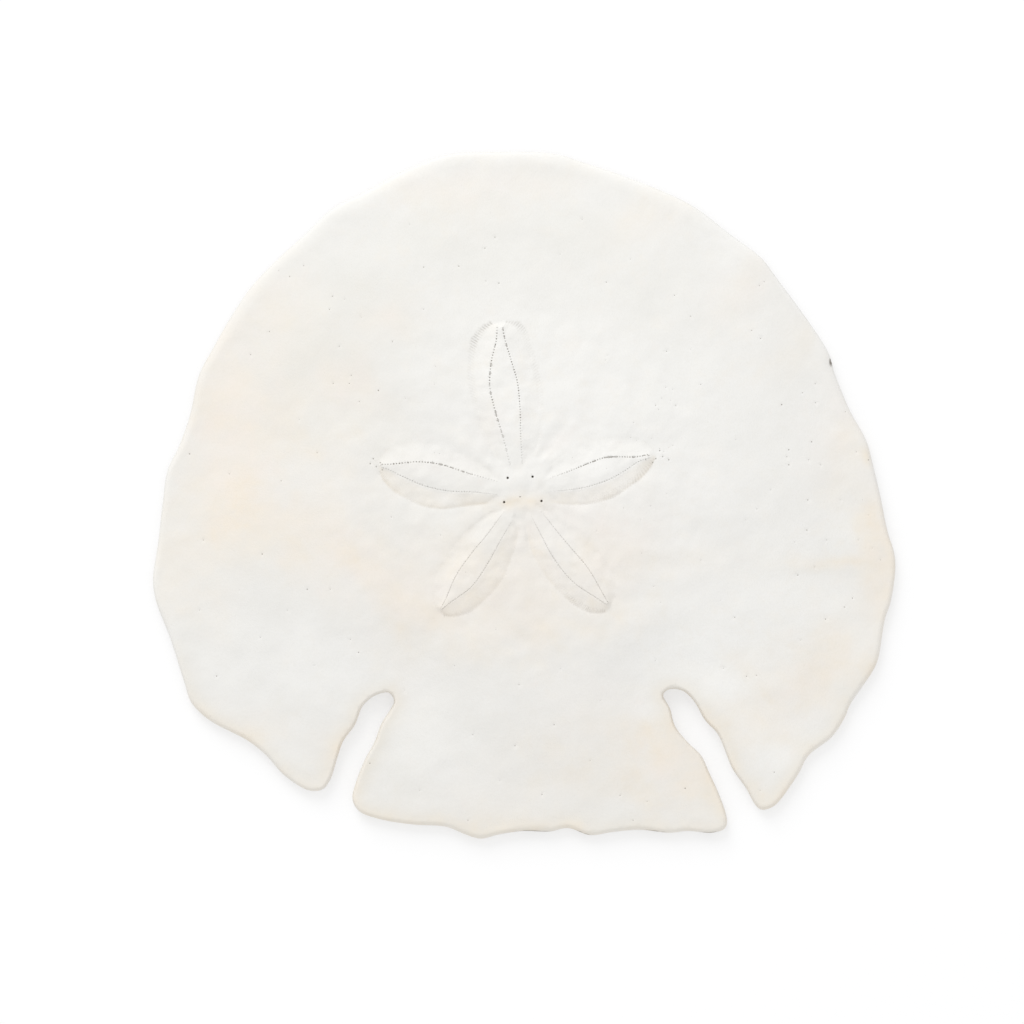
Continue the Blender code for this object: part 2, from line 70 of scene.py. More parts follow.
# The margin seen from above, clockwise from the front, in millimetres.
MARGIN = (
    (-4.1, 58.3), (2.3, 58.3), (6.6, 57.7), (9.5, 56.7), (15.1, 54.9), (22.9, 51.9),
    (28.7, 49.1), (35.3, 44.1), (40.4, 40.2), (42.6, 37.3), (47.9, 30.1), (51.8, 24.0),
    (52.7, 20.9), (55.2, 14.7), (58.2, 9.1), (59.2, 5.5), (60.5, 0.0), (61.8, -6.3),
    (62.9, -9.8), (63.1, -12.4), (62.3, -18.2), (61.3, -21.2), (60.2, -27.7),
    (59.5, -29.5), (55.2, -36.0), (54.7, -37.4), (52.3, -41.1), (48.3, -44.3),
    (46.6, -47.4), (42.9, -52.5),
    (41.6, -53.3), (40.3, -53.5), (39.4, -52.8), (37.7, -49.8), (35.4, -46.5),
    (34.1, -43.3), (32.9, -40.6), (30.7, -38.2), (29.0, -35.2), (27.0, -33.3),
    (24.7, -33.0), (23.6, -33.9), (24.8, -36.3), (25.6, -39.2), (27.6, -41.8),
    (30.1, -44.3), (31.4, -47.1), (33.1, -50.8), (34.3, -54.2), (34.5, -55.6),
    (34.1, -56.7),
    (31.9, -57.4), (27.8, -57.1), (24.8, -57.4), (19.7, -56.9), (14.9, -57.3),
    (11.2, -57.8), (7.4, -56.6), (4.4, -57.2), (-0.2, -57.1), (-4.3, -57.7),
    (-7.4, -58.4), (-10.2, -57.6), (-13.2, -56.4), (-18.9, -56.0), (-24.9, -55.0),
    (-28.1, -53.7), (-29.2, -51.7),
    (-28.5, -48.6), (-27.1, -45.0), (-25.4, -41.9), (-24.3, -38.9), (-22.8, -36.5),
    (-22.1, -35.0), (-23.0, -33.6), (-25.2, -34.0), (-27.4, -35.8), (-28.8, -39.1),
    (-30.8, -41.9), (-31.8, -44.8), (-32.9, -48.2), (-34.2, -50.0),
    (-36.6, -50.2), (-40.7, -47.7), (-43.9, -44.2), (-46.9, -41.8), (-53.6, -38.2),
    (-56.6, -35.2), (-57.8, -31.7), (-60.2, -24.2), (-62.6, -17.9), (-63.1, -14.4),
    (-62.2, -8.0), (-61.4, -1.1), (-60.6, 4.3), (-58.7, 8.2), (-56.8, 13.6),
    (-55.3, 20.3), (-52.9, 24.9), (-50.0, 30.0), (-46.6, 35.1), (-42.9, 39.1),
    (-36.4, 45.1), (-32.7, 48.6), (-26.2, 52.0), (-21.1, 54.8), (-14.7, 57.4),
    (-10.9, 58.2),
)

# Petals: direction clockwise from the front, then the inner and outer pore rows of the
# anticlockwise side and of the clockwise side, as (out from the crown, aside).
PETALS = {
    "front": (
        -7.5,
        ((4.0, -1.3), (9.0, -1.9), (14.0, -2.7), (18.0, -3.0), (22.0, -2.2), (25.5, -0.9), (27.8, -0.45)),
        ((5.0, -3.6), (8.0, -4.3), (11.5, -5.3), (17.0, -6.0), (21.0, -5.9), (25.5, -4.8),
         (27.5, -3.2), (28.5, -1.2)),
        ((4.0, 0.7), (9.0, 1.1), (14.0, 1.6), (18.0, 1.7), (22.0, 1.1), (25.5, 0.55), (27.6, 0.45)),
        ((4.3, 2.7), (7.0, 3.7), (11.4, 4.8), (17.0, 5.2), (23.0, 4.5), (26.7, 3.8),
         (27.9, 2.6), (28.4, 1.0)),
    ),
    "right": (
        75.2,
        ((5.0, -0.5), (8.5, -0.8), (12.4, -1.3), (15.0, -1.5), (17.0, -1.1), (20.0, -0.3), (22.3, -0.1)),
        ((4.8, -2.4), (7.9, -3.7), (10.6, -4.6), (13.7, -4.8), (16.8, -4.6), (19.9, -3.7),
         (22.1, -2.6), (23.4, -0.6)),
        ((4.5, 1.6), (6.4, 2.0), (10.7, 2.5), (15.0, 2.2), (18.0, 1.4), (20.2, 0.65), (22.3, 0.45)),
        ((4.0, 3.2), (6.0, 4.3), (10.6, 5.4), (14.9, 5.3), (17.8, 4.3), (20.1, 3.4),
         (21.8, 2.3), (23.2, 0.8)),
    ),
    "rear_right": (
        142.9,
        ((5.0, -0.4), (8.0, -0.45), (12.0, -0.6), (17.5, -0.9), (22.5, -0.3), (24.2, -0.1)),
        ((5.0, -1.9), (8.0, -2.8), (12.0, -3.6), (16.0, -4.1), (19.5, -3.9), (22.5, -3.0),
         (24.9, -0.7)),
        ((4.5, 1.4), (8.0, 2.0), (12.7, 2.7), (17.8, 2.5), (22.3, 1.0), (24.2, 0.35)),
        ((5.2, 3.2), (7.3, 4.1), (10.0, 5.1), (12.7, 5.5), (15.8, 5.6), (18.6, 5.2),
         (21.6, 4.5), (23.8, 3.3), (25.2, 1.2)),
    ),
    "rear_left": (
        213.8,
        ((5.2, -1.7), (9.0, -1.9), (13.6, -2.3), (18.4, -2.2), (22.4, -0.8), (24.4, -0.15)),
        ((4.5, -2.8), (6.2, -3.6), (8.6, -4.6), (11.4, -5.3), (14.1, -5.8), (17.1, -5.7),
         (19.9, -5.1), (22.5, -4.2), (24.2, -2.6), (25.2, -1.0)),
        ((4.7, 0.3), (9.5, 0.5), (14.0, 0.95), (18.4, 1.0), (22.7, 0.25), (24.4, 0.1)),
        ((4.5, 2.0), (8.0, 3.0), (12.0, 3.9), (16.0, 4.3), (19.5, 4.0), (22.5, 3.0),
         (24.9, 0.8)),
    ),
    "left": (
        278.7,
        ((3.8, -1.6), (7.4, -1.7), (12.0, -2.2), (16.0, -2.0), (19.7, -1.1), (22.8, -0.15), (23.8, 0.0)),
        ((3.6, -2.9), (8.4, -4.2), (12.8, -5.4), (16.0, -5.4), (18.6, -4.7), (20.8, -3.9),
         (22.8, -2.6), (24.3, -0.7)),
        ((4.0, 0.6), (9.6, 1.3), (14.0, 2.0), (17.8, 1.9), (20.0, 1.4), (22.6, 0.75), (24.1, 0.5)),
        ((5.0, 2.4), (7.1, 3.2), (10.0, 4.1), (13.4, 4.8), (16.2, 5.3), (19.8, 4.9),
         (22.6, 4.0), (24.4, 1.6)),
    ),
}

# Spacing of the pores and slits along a row, wider for slits that show past the edge.
PORE_STEP = 0.5
SLIT_STEP, COARSE_SLIT_STEP = 0.4, 0.5
# How each side's rows look: radius of the inner pores, how far they run together in a
# line, how strongly the outer comb of slits shows and where along the row it starts, how
# far the slits lean towards the tip, and how far out on the flank the comb starts.
ROW_LOOK = {
    ("front", 0): (0.12, 0.0, 1.05, 0.64, 0.03, 0.72),
    ("front", 1): (0.115, 0.0, 1.05, 0.8, 0.03, 0.74),
    ("right", 0): (0.13, 0.22, 0.15, 0.9, 0.04, 0.8),
    ("right", 1): (0.085, 0.6, 0.3, 0.4, -0.1, 0.45),
    ("rear_right", 0): (0.07, 1.0, 0.1, 0.9, 0.04, 0.8),
    ("rear_right", 1): (0.07, 1.0, 0.6, 0.5, 0.12, 0.55),
    ("rear_left", 0): (0.07, 1.0, 0.5, 0.7, 0.1, 0.65),
    ("rear_left", 1): (0.07, 1.0, 0.1, 0.9, 0.04, 0.8),
    ("left", 0): (0.085, 0.65, 0.5, 0.8, 0.08, 0.55),
    ("left", 1): (0.125, 0.12, 0.15, 0.9, 0.04, 0.8),
}

# Knobs near the crown and broad swells: place, reach and rise.
KNOBS = (
    (3.6, 6.0, 0.9, 0.2), (5.6, 8.8, 1.2, 0.2), (-5.8, 5.4, 0.9, 0.2), (-7.8, 7.8, 1.2, 0.2),
    (6.4, -1.9, 1.0, 0.16), (9.6, -3.2, 1.2, 0.2), (-0.9, -5.0, 0.9, 0.24),
    (0.1, -6.6, 0.9, 0.24), (-1.6, -6.5, 0.8, 0.2), (-0.6, -8.6, 1.1, 0.18),
    (-7.2, -2.7, 1.0, 0.18), (-9.9, -4.2, 1.2, 0.2),
)
SWELLS = (
    (31.0, 31.0, 12.0, 0.28), (-30.0, 30.0, 12.0, 0.26), (45.0, -14.0, 13.0, 0.3),
    (-45.0, -13.0, 13.0, 0.3), (0.5, -33.0, 13.0, 0.34), (42.0, 8.0, 9.0, -0.18),
    (-42.0, 6.0, 9.0, -0.18), (-3.5, 42.0, 9.0, -0.16), (22.0, -24.0, 7.0, -0.06),
    (-22.0, -24.0, 7.0, -0.06), (14.0, -46.0, 8.0, 0.16), (-14.0, -45.0, 8.0, 0.16),
)

# Pin-sized dark specks, each where the picture shows it, in pixels.
SPECKS = (
    (279, 271), (290, 277), (304, 266), (330, 310), (333, 297), (270, 332), (251, 355),
    (340, 347), (393, 342), (352, 376), (350, 384), (334, 384), (379, 391), (360, 402),
    (318, 453), (282, 481), (230, 474), (190, 454), (204, 540), (263, 554), (392, 517),
    (331, 589), (308, 589), (351, 639), (359, 652), (261, 637), (217, 676), (370, 763),
    (486, 282), (499, 284), (424, 310), (459, 267), (495, 238), (485, 249), (424, 268),
    (582, 220), (606, 283), (690, 317), (674, 296), (751, 331), (760, 339), (759, 286),
    (764, 282), (666, 352), (675, 406), (655, 406), (700, 385), (781, 405), (802, 393),
    (815, 384), (815, 403), (845, 412), (788, 450), (786, 457), (788, 465), (808, 460),
    (820, 465), (811, 442), (856, 452), (868, 460), (756, 509), (807, 500), (806, 530),
    (794, 542), (797, 575), (814, 567), (825, 619), (844, 607), (852, 598), (734, 617),
    (723, 668), (746, 676), (756, 675), (774, 772), (847, 712), (519, 684), (554, 724),
    (473, 734), (515, 745), (468, 820), (542, 794), (620, 795), (685, 788), (633, 820),
    (647, 801),
)
# Fainter specks, some where the picture shows them and some strewn between.
FAINT_SPECKS = (
    (655, 405), (658, 410), (661, 399), (670, 401), (633, 423), (630, 438), (636, 441),
    (651, 439), (659, 449), (668, 461), (666, 494), (650, 506), (623, 508), (605, 361),
    (607, 356), (665, 388), (672, 390), (435, 453), (440, 454), (441, 535), (466, 572),
    (506, 574), (572, 458), (606, 469), (641, 553), (653, 586), (660, 602), (596, 531),
    (640, 520), (393, 343), (435, 385), (406, 399), (436, 367), (496, 629), (663, 452),
    (668, 448), (672, 446), (345, 300), (362, 318), (300, 420), (288, 610), (315, 665),
    (405, 690), (455, 665), (560, 668), (600, 700), (655, 660), (700, 560), (720, 600),
    (745, 520), (770, 490), (735, 440), (690, 350), (630, 260), (560, 255), (410, 225),
    (240, 590), (200, 610), (420, 790), (500, 780), (590, 760), (760, 790), (800, 640),
    (840, 500), (826, 540), (862, 500), (872, 548), (880, 560), (868, 515), (858, 540),
)
# Loose pores past the tips of the two side petals.
TIP_PORES = (
    (374, 459), (377, 467), (383, 470), (381, 463), (648, 456), (655, 459), (659, 451),
    (668, 460), (645, 460), (652, 463), (662, 457), (371, 464),
)
RIM_CHIP = (831, 362)
CHIP_HALF, CHIP_SIDES = (0.55, 1.15), 13
# Spans of the painted shadow line under the rear margin's overhanging edge.
DARK_EDGES = ((510, 550), (576, 590), (646, 664), (702, 717))  # along the rear margin, in pixels
REAR_EDGE, EDGE_SHADOW_WIDTH, EDGE_SHADOW_STRENGTH = -52.0, 0.12, 0.7

# Soft tan stains: middle and half-sizes in pixels, turn in degrees, strength.
STAINS = (
    (238, 505, 28, 36, 0, 0.45), (250, 520, 50, 24, 0, 0.4), (235, 430, 24, 44, 0, 0.26),
    (560, 760, 90, 50, 0, 0.12), (500, 806, 80, 20, 0, 0.1), (420, 650, 70, 20, 0, 0.12),
    (262, 380, 60, 70, 20, 0.2), (225, 470, 50, 90, 0, 0.26), (210, 400, 30, 60, 10, 0.2),
    (310, 545, 60, 36, 10, 0.36), (352, 552, 34, 14, 20, 0.4), (385, 588, 44, 16, 35, 0.4),
    (398, 552, 24, 22, 0, 0.2), (185, 560, 30, 40, 0, 0.14),
    (430, 612, 50, 22, 15, 0.34), (510, 615, 80, 42, 0, 0.34), (605, 568, 50, 46, 20, 0.28),
    (480, 560, 70, 50, 0, 0.26), (350, 470, 60, 80, 0, 0.14), (275, 300, 40, 34, 40, 0.14),
    (350, 385, 30, 24, 30, 0.22), (387, 320, 24, 20, 0, 0.2), (440, 195, 60, 22, 10, 0.2),
    (540, 178, 60, 18, 0, 0.15), (650, 215, 50, 20, -25, 0.18), (750, 285, 40, 22, -50, 0.2),
    (800, 340, 24, 40, 30, 0.2), (850, 440, 20, 60, 15, 0.26), (878, 530, 20, 40, 0, 0.5),
    (872, 522, 14, 14, 0, 0.5), (835, 562, 44, 6, -3, 0.4), (880, 580, 20, 30, 0, 0.35),
    (835, 655, 36, 44, -30, 0.42), (815, 690, 26, 26, 0, 0.3), (780, 700, 44, 36, 60, 0.3),
    (735, 720, 30, 34, -30, 0.26), (680, 768, 36, 40, 0, 0.5), (640, 740, 50, 26, 0, 0.24),
    (635, 762, 26, 20, 0, 0.16), (600, 620, 22, 16, 0, 0.18),
    (590, 775, 50, 26, 0, 0.2), (470, 822, 110, 10, 0, 0.26), (335, 770, 24, 34, 0, 0.3),
    (245, 735, 50, 14, -30, 0.2), (160, 590, 14, 70, 0, 0.16), (700, 560, 90, 14, 0, 0.1),
    # The strong oval just below the crown is orange stain together with painted shade on the crown's lower
    # slope.
    (523, 502, 20, 8, 0, 0.95), (280, 445, 46, 30, 0, 0.26),
    (200, 605, 26, 40, 0, 0.2), (888, 620, 12, 44, 0, 0.4), (640, 766, 30, 26, 0, 0.3),
    (775, 800, 26, 18, 0, 0.4), (876, 524, 8, 11, 0, 0.5), (886, 540, 5, 14, 0, 0.4),
    (866, 456, 5, 9, -10, 0.55), (862, 562, 14, 4, 8, 0.3),
)
# A faint rose tint, which lies round and between the tan stains.
ROSY = (
    (600, 700, 80, 40, 0, 0.22), (480, 790, 90, 30, 0, 0.14), (400, 700, 40, 30, 0, 0.12),
    (225, 420, 50, 90, 10, 0.5), (240, 480, 36, 60, 0, 0.35), (350, 385, 30, 22, 30, 0.55),
    (387, 318, 22, 20, 0, 0.45), (280, 300, 50, 40, 30, 0.3), (340, 540, 60, 40, 20, 0.4),
    (400, 590, 60, 36, 20, 0.45), (500, 600, 70, 50, 0, 0.4), (610, 550, 50, 50, 20, 0.45),
    (440, 470, 60, 16, 0, 0.12), (600, 490, 40, 14, -10, 0.15), (880, 540, 22, 70, 0, 0.4),
    (830, 430, 22, 60, 20, 0.3), (800, 690, 60, 30, -40, 0.35), (675, 765, 36, 40, 0, 0.45),
    (740, 290, 50, 20, -45, 0.25), (470, 185, 80, 16, 0, 0.3), (340, 770, 20, 36, 0, 0.35),
    (527, 535, 16, 24, 0, 0.4), (490, 425, 12, 26, 20, 0.3), (255, 725, 50, 14, 25, 0.2),
    (570, 520, 40, 16, 20, 0.3), (560, 440, 24, 8, -30, 0.3),
)
# Greyer, duller patches.
DULL = (
    (300, 345, 80, 90, 30, 0.9), (240, 440, 50, 60, 0, 0.3), (440, 245, 60, 40, 0, 0.4),
    (565, 240, 36, 30, 0, 0.45), (645, 290, 34, 30, 0, 0.35), (200, 500, 30, 50, 0, 0.3),
    (395, 770, 30, 30, 0, 0.6), (365, 410, 30, 30, 0, 0.5), (390, 440, 20, 16, 0, 0.4),
    (250, 540, 60, 40, 0, 0.3),
    (365, 288, 26, 20, 0, 0.6), (356, 376, 24, 26, 0, 0.5), (240, 515, 40, 26, 0, 0.35),
    (290, 535, 40, 16, 0, 0.5), (402, 557, 40, 30, 20, 0.5), (440, 610, 60, 20, 0, 0.35),
    (822, 572, 44, 5, 0, 0.6), (870, 520, 20, 30, 0, 0.5), (860, 620, 20, 40, 0, 0.25),
    (330, 600, 50, 16, 0, 0.3), (520, 640, 90, 16, 0, 0.2), (700, 740, 30, 40, 0, 0.3),
    (420, 240, 50, 20, 20, 0.3), (310, 340, 40, 20, 30, 0.4), (205, 400, 16, 60, 10, 0.3),
    (170, 490, 16, 60, 0, 0.3), (480, 235, 120, 30, 0, 0.2),
    (877, 530, 8, 16, 0, 0.8), (880, 556, 6, 12, 0, 0.5), (868, 508, 6, 8, 0, 0.5),
    (866, 456, 5, 9, -10, 0.6), (862, 563, 14, 4, 8, 0.4),
)
# Paler patches: bare lime, with painted light in some places.
PALE = (
    (650, 390, 150, 90, 0, 0.75), (560, 320, 60, 40, 0, 0.6), (600, 480, 60, 30, 0, 0.6),
    # The ovals at (345, 660) and (680, 655) are painted light over the shade of the slopes down into the
    # notches.
    (500, 350, 70, 60, 0, 0.35), (345, 660, 76, 36, 0, 0.85), (680, 655, 80, 36, 0, 0.95),
    (800, 620, 70, 46, 0, 0.7), (480, 778, 80, 36, 0, 0.7), (260, 670, 80, 40, 0, 0.5),
    (720, 580, 90, 40, 0, 0.45), (520, 560, 40, 40, 0, 0.5), (430, 515, 50, 14, 10, 0.5),
    (550, 690, 120, 30, 0, 0.4), (770, 710, 60, 40, 0, 0.5), (580, 785, 60, 24, 0, 0.5),
    (700, 470, 90, 40, 0, 0.4), (500, 255, 50, 34, 0, 0.4), (740, 265, 50, 30, -40, 0.5),
    # The thin strips at (440, 450) and (595, 445) are painted highlights along the upper edges of the two
    # side petals.
    (440, 450, 50, 6, 8, 0.5),
    (595, 445, 50, 6, -12, 0.6), (552, 430, 16, 12, 0, 0.5), (519, 372, 5, 26, 0, 0.5),
    (700, 380, 60, 30, 0, 0.2), (240, 640, 40, 40, 0, 0.2), (500, 180, 160, 14, 0, 0.3),
    (430, 476, 40, 7, 0, 0.5),
    (600, 470, 40, 7, -15, 0.4), (512, 400, 9, 50, 0, 0.4), (895, 560, 8, 60, 0, 0.4),
    (560, 590, 16, 50, 35, 0.2), (480, 590, 16, 50, -35, 0.2),
)
# Bare lime round the notches and between the petals, with painted light above the notches' inner ends:
# place and reach in millimetres, strength.
WASHED_AND_LIT = (
    (22.0, -27.0, 9.0, 0.8), (31.0, -29.0, 8.0, 0.5), (-27.0, -31.0, 9.0, 0.55), (12.5, -15.5, 5.0, 0.6),
    (54.0, -21.0, 6.0, 0.6), (46.0, -45.0, 5.0, 0.6), (-15.0, -45.0, 7.0, 0.5), (40.0, -33.0, 6.0, 0.5),
    (-26.0, -9.0, 6.0, 0.3), (-20.0, -20.0, 7.0, 0.4), (13.0, 2.0, 5.0, 0.4), (58.0, -4.0, 5.0, 0.5),
    (12.0, 50.0, 6.0, 0.4), (-10.0, -21.5, 6.0, 0.6), (3.4, -9.6, 3.5, 0.5), (31.5, -34.5, 4.0, 0.6),
    (38.5, -39.5, 4.0, 0.6), (-17.0, -10.5, 4.0, 0.4), (-3.0, -27.0, 5.0, 0.3), (12.0, -6.0, 4.0, 0.3),
)

# Colours of the lime and of what lies on and in it.
GREYER_LIME = (0.690, 0.682, 0.658, 1)
LIGHTER_LIME = (0.722, 0.714, 0.692, 1)
CLOUDY_LIME = (0.755, 0.747, 0.725, 1)
BARE_AND_LIT_LIME = (0.775, 0.77, 0.75, 1)
DULL_LIME = (0.643, 0.634, 0.593, 1)
TAN = (0.742, 0.67, 0.564, 1)
ROSE = (0.742, 0.684, 0.638, 1)
SLIT_BROWN = (0.42, 0.34, 0.24, 1)
GRAIN_GREY = (0.62, 0.6, 0.54, 1)
# Near-black brown: painted shade in the pores and slits, the painted shadow line at the rear margin, darker
# food grooves and real dark specks.
SHADE_AND_DIRT = (0.09, 0.066, 0.04, 1)
BEAD_GAP_SHADE = (0.5, 0.46, 0.39, 1)


def smooth_curve(points, closed, step):
    """Points about a step apart along a smooth curve through the given ones."""
    pts = [np.array(p, float) for p in points]
    if closed:
        pts = [pts[-1]] + pts + pts[:2]
    else:
        pts = [2 * pts[0] - pts[1]] + pts + [2 * pts[-1] - pts[-2]]
    out = []
    for a, b, c, d in zip(pts, pts[1:], pts[2:], pts[3:]):
        count = max(2, int(math.dist(b, c) / step))
        ta = math.sqrt(math.dist(a, b))
        tb = math.sqrt(math.dist(b, c))
        tc = math.sqrt(math.dist(c, d))
        m1 = (c - b) + tb * ((b - a) / ta - (c - a) / (ta + tb))
        m2 = (c - b) + tb * ((d - c) / tc - (d - b) / (tb + tc))
        for i in range(count):
            u = i / count
            h = ((2 * u - 3) * u * u + 1, (u - 2) * u * u + u, (3 - 2 * u) * u * u, (u - 1) * u * u)
            out.append(h[0] * b + h[1] * m1 + h[2] * c + h[3] * m2)
    if not closed:
        out.append(pts[-2])
    return np.array(out)


def even(curve, closed, step):
    """The curve again, as points a step apart."""
    path = np.vstack([curve, curve[:1]]) if closed else curve
    run = np.concatenate([[0.0], np.cumsum(np.linalg.norm(np.diff(path, axis=0), axis=1))])
    count = max(2, int(round(run[-1] / step)))
    at = np.linspace(0.0, run[-1], count + 1)
    found = np.column_stack([np.interp(at, run, path[:, i]) for i in range(2)])
    return found[:-1] if closed else found


def along_curve(curve, share):
    """Points at the given shares of a curve's length."""
    run = np.concatenate([[0.0], np.cumsum(np.linalg.norm(np.diff(curve, axis=0), axis=1))])
    at = np.asarray(share) * run[-1]
    return np.column_stack([np.interp(at, run, curve[:, i]) for i in range(2)])


def curve_length(curve):
    return float(np.linalg.norm(np.diff(curve, axis=0), axis=1).sum())


def distance_to(points, path, closed):
    """Distance from each point to a path of straight pieces."""
    ends = np.roll(path, -1, axis=0) if closed else path[1:]
    starts = path if closed else path[:-1]
    x, y = points[:, 0].copy(), points[:, 1].copy()
    best = np.full(len(points), 1e12)
    for (ax, ay), (bx, by) in zip(starts, ends):
        dx, dy = bx - ax, by - ay
        t = np.clip(((x - ax) * dx + (y - ay) * dy) / max(dx * dx + dy * dy, 1e-12), 0.0, 1.0)
        gap = (x - ax - t * dx) ** 2 + (y - ay - t * dy) ** 2
        np.minimum(best, gap, out=best)
    return np.sqrt(best)


def inside(points, loop):
    """True for each point within a closed loop."""
    x, y = points[:, 0], points[:, 1]
    found = np.zeros(len(points), bool)
    for (ax, ay), (bx, by) in zip(loop, np.roll(loop, -1, axis=0)):
        if ay != by:
            crosses = (ay > y) != (by > y)
            found ^= crosses & (x < (bx - ax) * (y - ay) / (by - ay) + ax)
    return found


def smooth_step(t):
    t = np.clip(t, 0.0, 1.0)
    return t * t * (3 - 2 * t)


def blob(points, x, y, reach):
    """A soft round bump, 1 at its middle."""
    return np.exp(-((points[:, 0] - x) ** 2 + (points[:, 1] - y) ** 2) / reach**2)


def beside(path, gap):
    """The path moved sideways by the gap, to its left."""
    along = np.gradient(path, axis=0)
    along /= np.linalg.norm(along, axis=1)[:, None]
    return path + gap * np.column_stack([-along[:, 1], along[:, 0]])


def seen(x, y):
    """The place under a pixel of the picture, in millimetres."""
    return ((x - MIDDLE[0]) * PX, (MIDDLE[1] - y) * PX)


def petal_point(angle, out, aside):
    """The place that is so far out from the crown and aside of a petal's middle line."""
    a = math.radians(angle)
    x = CROWN[0] + out * math.sin(a) + aside * math.cos(a)
    y = CROWN[1] + out * math.cos(a) - aside * math.sin(a)
    return (x, y)


def petal_curves(name):
    """Inner and outer rows of both sides, the inner field and the edge round the tip."""
    angle = PETALS[name][0]
    rows = [smooth_curve([petal_point(angle, *p) for p in row], False, 0.25) for row in PETALS[name][1:]]
    inner_a, outer_a, inner_b, outer_b = rows
    field = np.vstack([inner_a, inner_b[::-1], [CROWN]])
    edge = smooth_curve(list(outer_a[::6]) + list(outer_b[::-6]), False, 0.3)
    return inner_a, outer_a, inner_b, outer_b, field, edge


def food_grooves(outline):
    """Each ray leaves the mouth as one groove and soon parts into two."""
    paths = []
    swings = ((7.0, 0), (10.0, 9), (16.0, 15), (25.0, 18), (36.0, 18), (44.0, 16), (50.0, 13))
    for angle, *_ in PETALS.values():
        stem = [petal_point(angle, out, 0.0) for out in (3.6, 5.0, 7.0)]
        paths.append(smooth_curve(stem, False, 0.3))
        for side in (-1, 1):
            arm = [petal_point(angle + side * swing, out, 0.0) for out, swing in swings]
            arm = smooth_curve(arm, False, 0.3)
            paths.append(arm[inside(arm, outline) & (distance_to(arm, outline, True) > 4.5)])
    return paths


# Each branch: how far out it leaves its groove, the groove's swing there, its length and its turn.
TWIGS = ((17, 15, 9, 16), (24, 18, 10, 14), (31, 18, 9, 12), (22, 18, 8, -13), (34, 18, 8, -10))


def food_twigs(outline):
    """Short side branches that leave the food grooves on the way out."""
    twigs = []
    for angle, *_ in PETALS.values():
        for side in (-1, 1):
            for start, swing, length, turn in TWIGS:
                way = [petal_point(angle + side * (swing + turn * t * t), start + length * t, 0.0)
                       for t in (0.0, 0.3, 0.65, 1.0)]
                twig = smooth_curve(way, False, 0.4)
                if (inside(twig, outline) & (distance_to(twig, outline, True) > 3.0)).all():
                    twigs.append(twig)
    return twigs


class Cloud:
    """Points in plan, each with a small sink and its marks, kept apart by a fine raster."""

    CELL = 0.04
    LOW = (-64.5, -60.0)
    CELLS = (3230, 3010)
    DISCS = {}  # filled rounds of the raster, by radius in cells

    def __init__(self):
        self.rows = []
        self.taken = np.zeros(self.CELLS, bool)

    def mark(self, x, y, reach):
        """Keeps later filling points this far away."""
        n = int(round(reach / self.CELL))
        if n not in self.DISCS:
            g = np.arange(-n, n + 1)
            self.DISCS[n] = g[:, None] ** 2 + g[None, :] ** 2 <= n * n
        i = int((x - self.LOW[0]) / self.CELL)
        j = int((y - self.LOW[1]) / self.CELL)
        self.taken[i - n : i + n + 1, j - n : j + n + 1] |= self.DISCS[n]

    def put(self, x, y, reach):
        """Adds a point whatever is near it."""
        self.rows.append((x, y, 0.0, 0.0, 0.0))
        self.mark(x, y, reach)

    def circle(self, middle, radius, count, reach):
        for k in range(count):
            a = math.tau * k / count
            self.put(middle[0] + radius * math.cos(a), middle[1] + radius * math.sin(a), reach)

    def fill(self, points, reach, sink=None, dark=None, slit=None):
        """Adds the points that have room."""
        for k, (x, y) in enumerate(points):
            i = int((x - self.LOW[0]) / self.CELL)
            j = int((y - self.LOW[1]) / self.CELL)
            if not self.taken[i, j]:
                self.rows.append((
                    x, y,
                    0.0 if sink is None else sink[k],
                    0.0 if dark is None else dark[k],
                    0.0 if slit is None else slit[k],
                ))
                self.mark(x, y, reach)

    def pit(self, x, y, rings, floor, sides, clear):
        """Rings of (radius, sink, dark) round a floor point (sink, dark)."""
        for n, (radius, sink, dark) in enumerate(rings):
            for k in range(sides):
                a = math.tau * (k + 0.5 * (n % 2)) / sides
                self.rows.append((x + radius * math.cos(a), y + radius * math.sin(a), sink, dark, 0.0))
        self.rows.append((x, y, floor[0], floor[1], 0.0))
        self.mark(x, y, clear)


def lattice(step):
    """Points a step apart, in rows that are set off from each other."""
    rows = []
    for j, y in enumerate(np.arange(-59.0, 59.0, step * 0.866)):
        shift = step / 2 if j % 2 else 0.0
        xs = np.arange(-63.5 + shift, 63.5, step)
        rows.append(np.column_stack([xs, np.full(len(xs), y)]))
    return np.vstack(rows)


def rim_rings(cloud, loop, depths, reach):
    """Rows of points that follow the margin, each at its depth in from it."""
    along = np.roll(loop, -1, axis=0) - np.roll(loop, 1, axis=0)
    along /= np.linalg.norm(along, axis=1)[:, None]
    inward = np.column_stack([along[:, 1], -along[:, 0]])
    for depth in depths:
        ring = loop + inward * depth
        true = distance_to(ring, loop, True)
        ring = ring[(true > 0.95 * depth) & inside(ring, loop)]
        cloud.fill(ring, reach(depth))


def rough(points, scale, seed, octaves=3):
    """Smooth random heights, about -1 to 1, that repeat exactly each run."""
    places = [Vector((x / scale, y / scale, seed)) for x, y in points]
    return np.array([noise.fractal(place, 0.8, 2.1, octaves) for place in places])


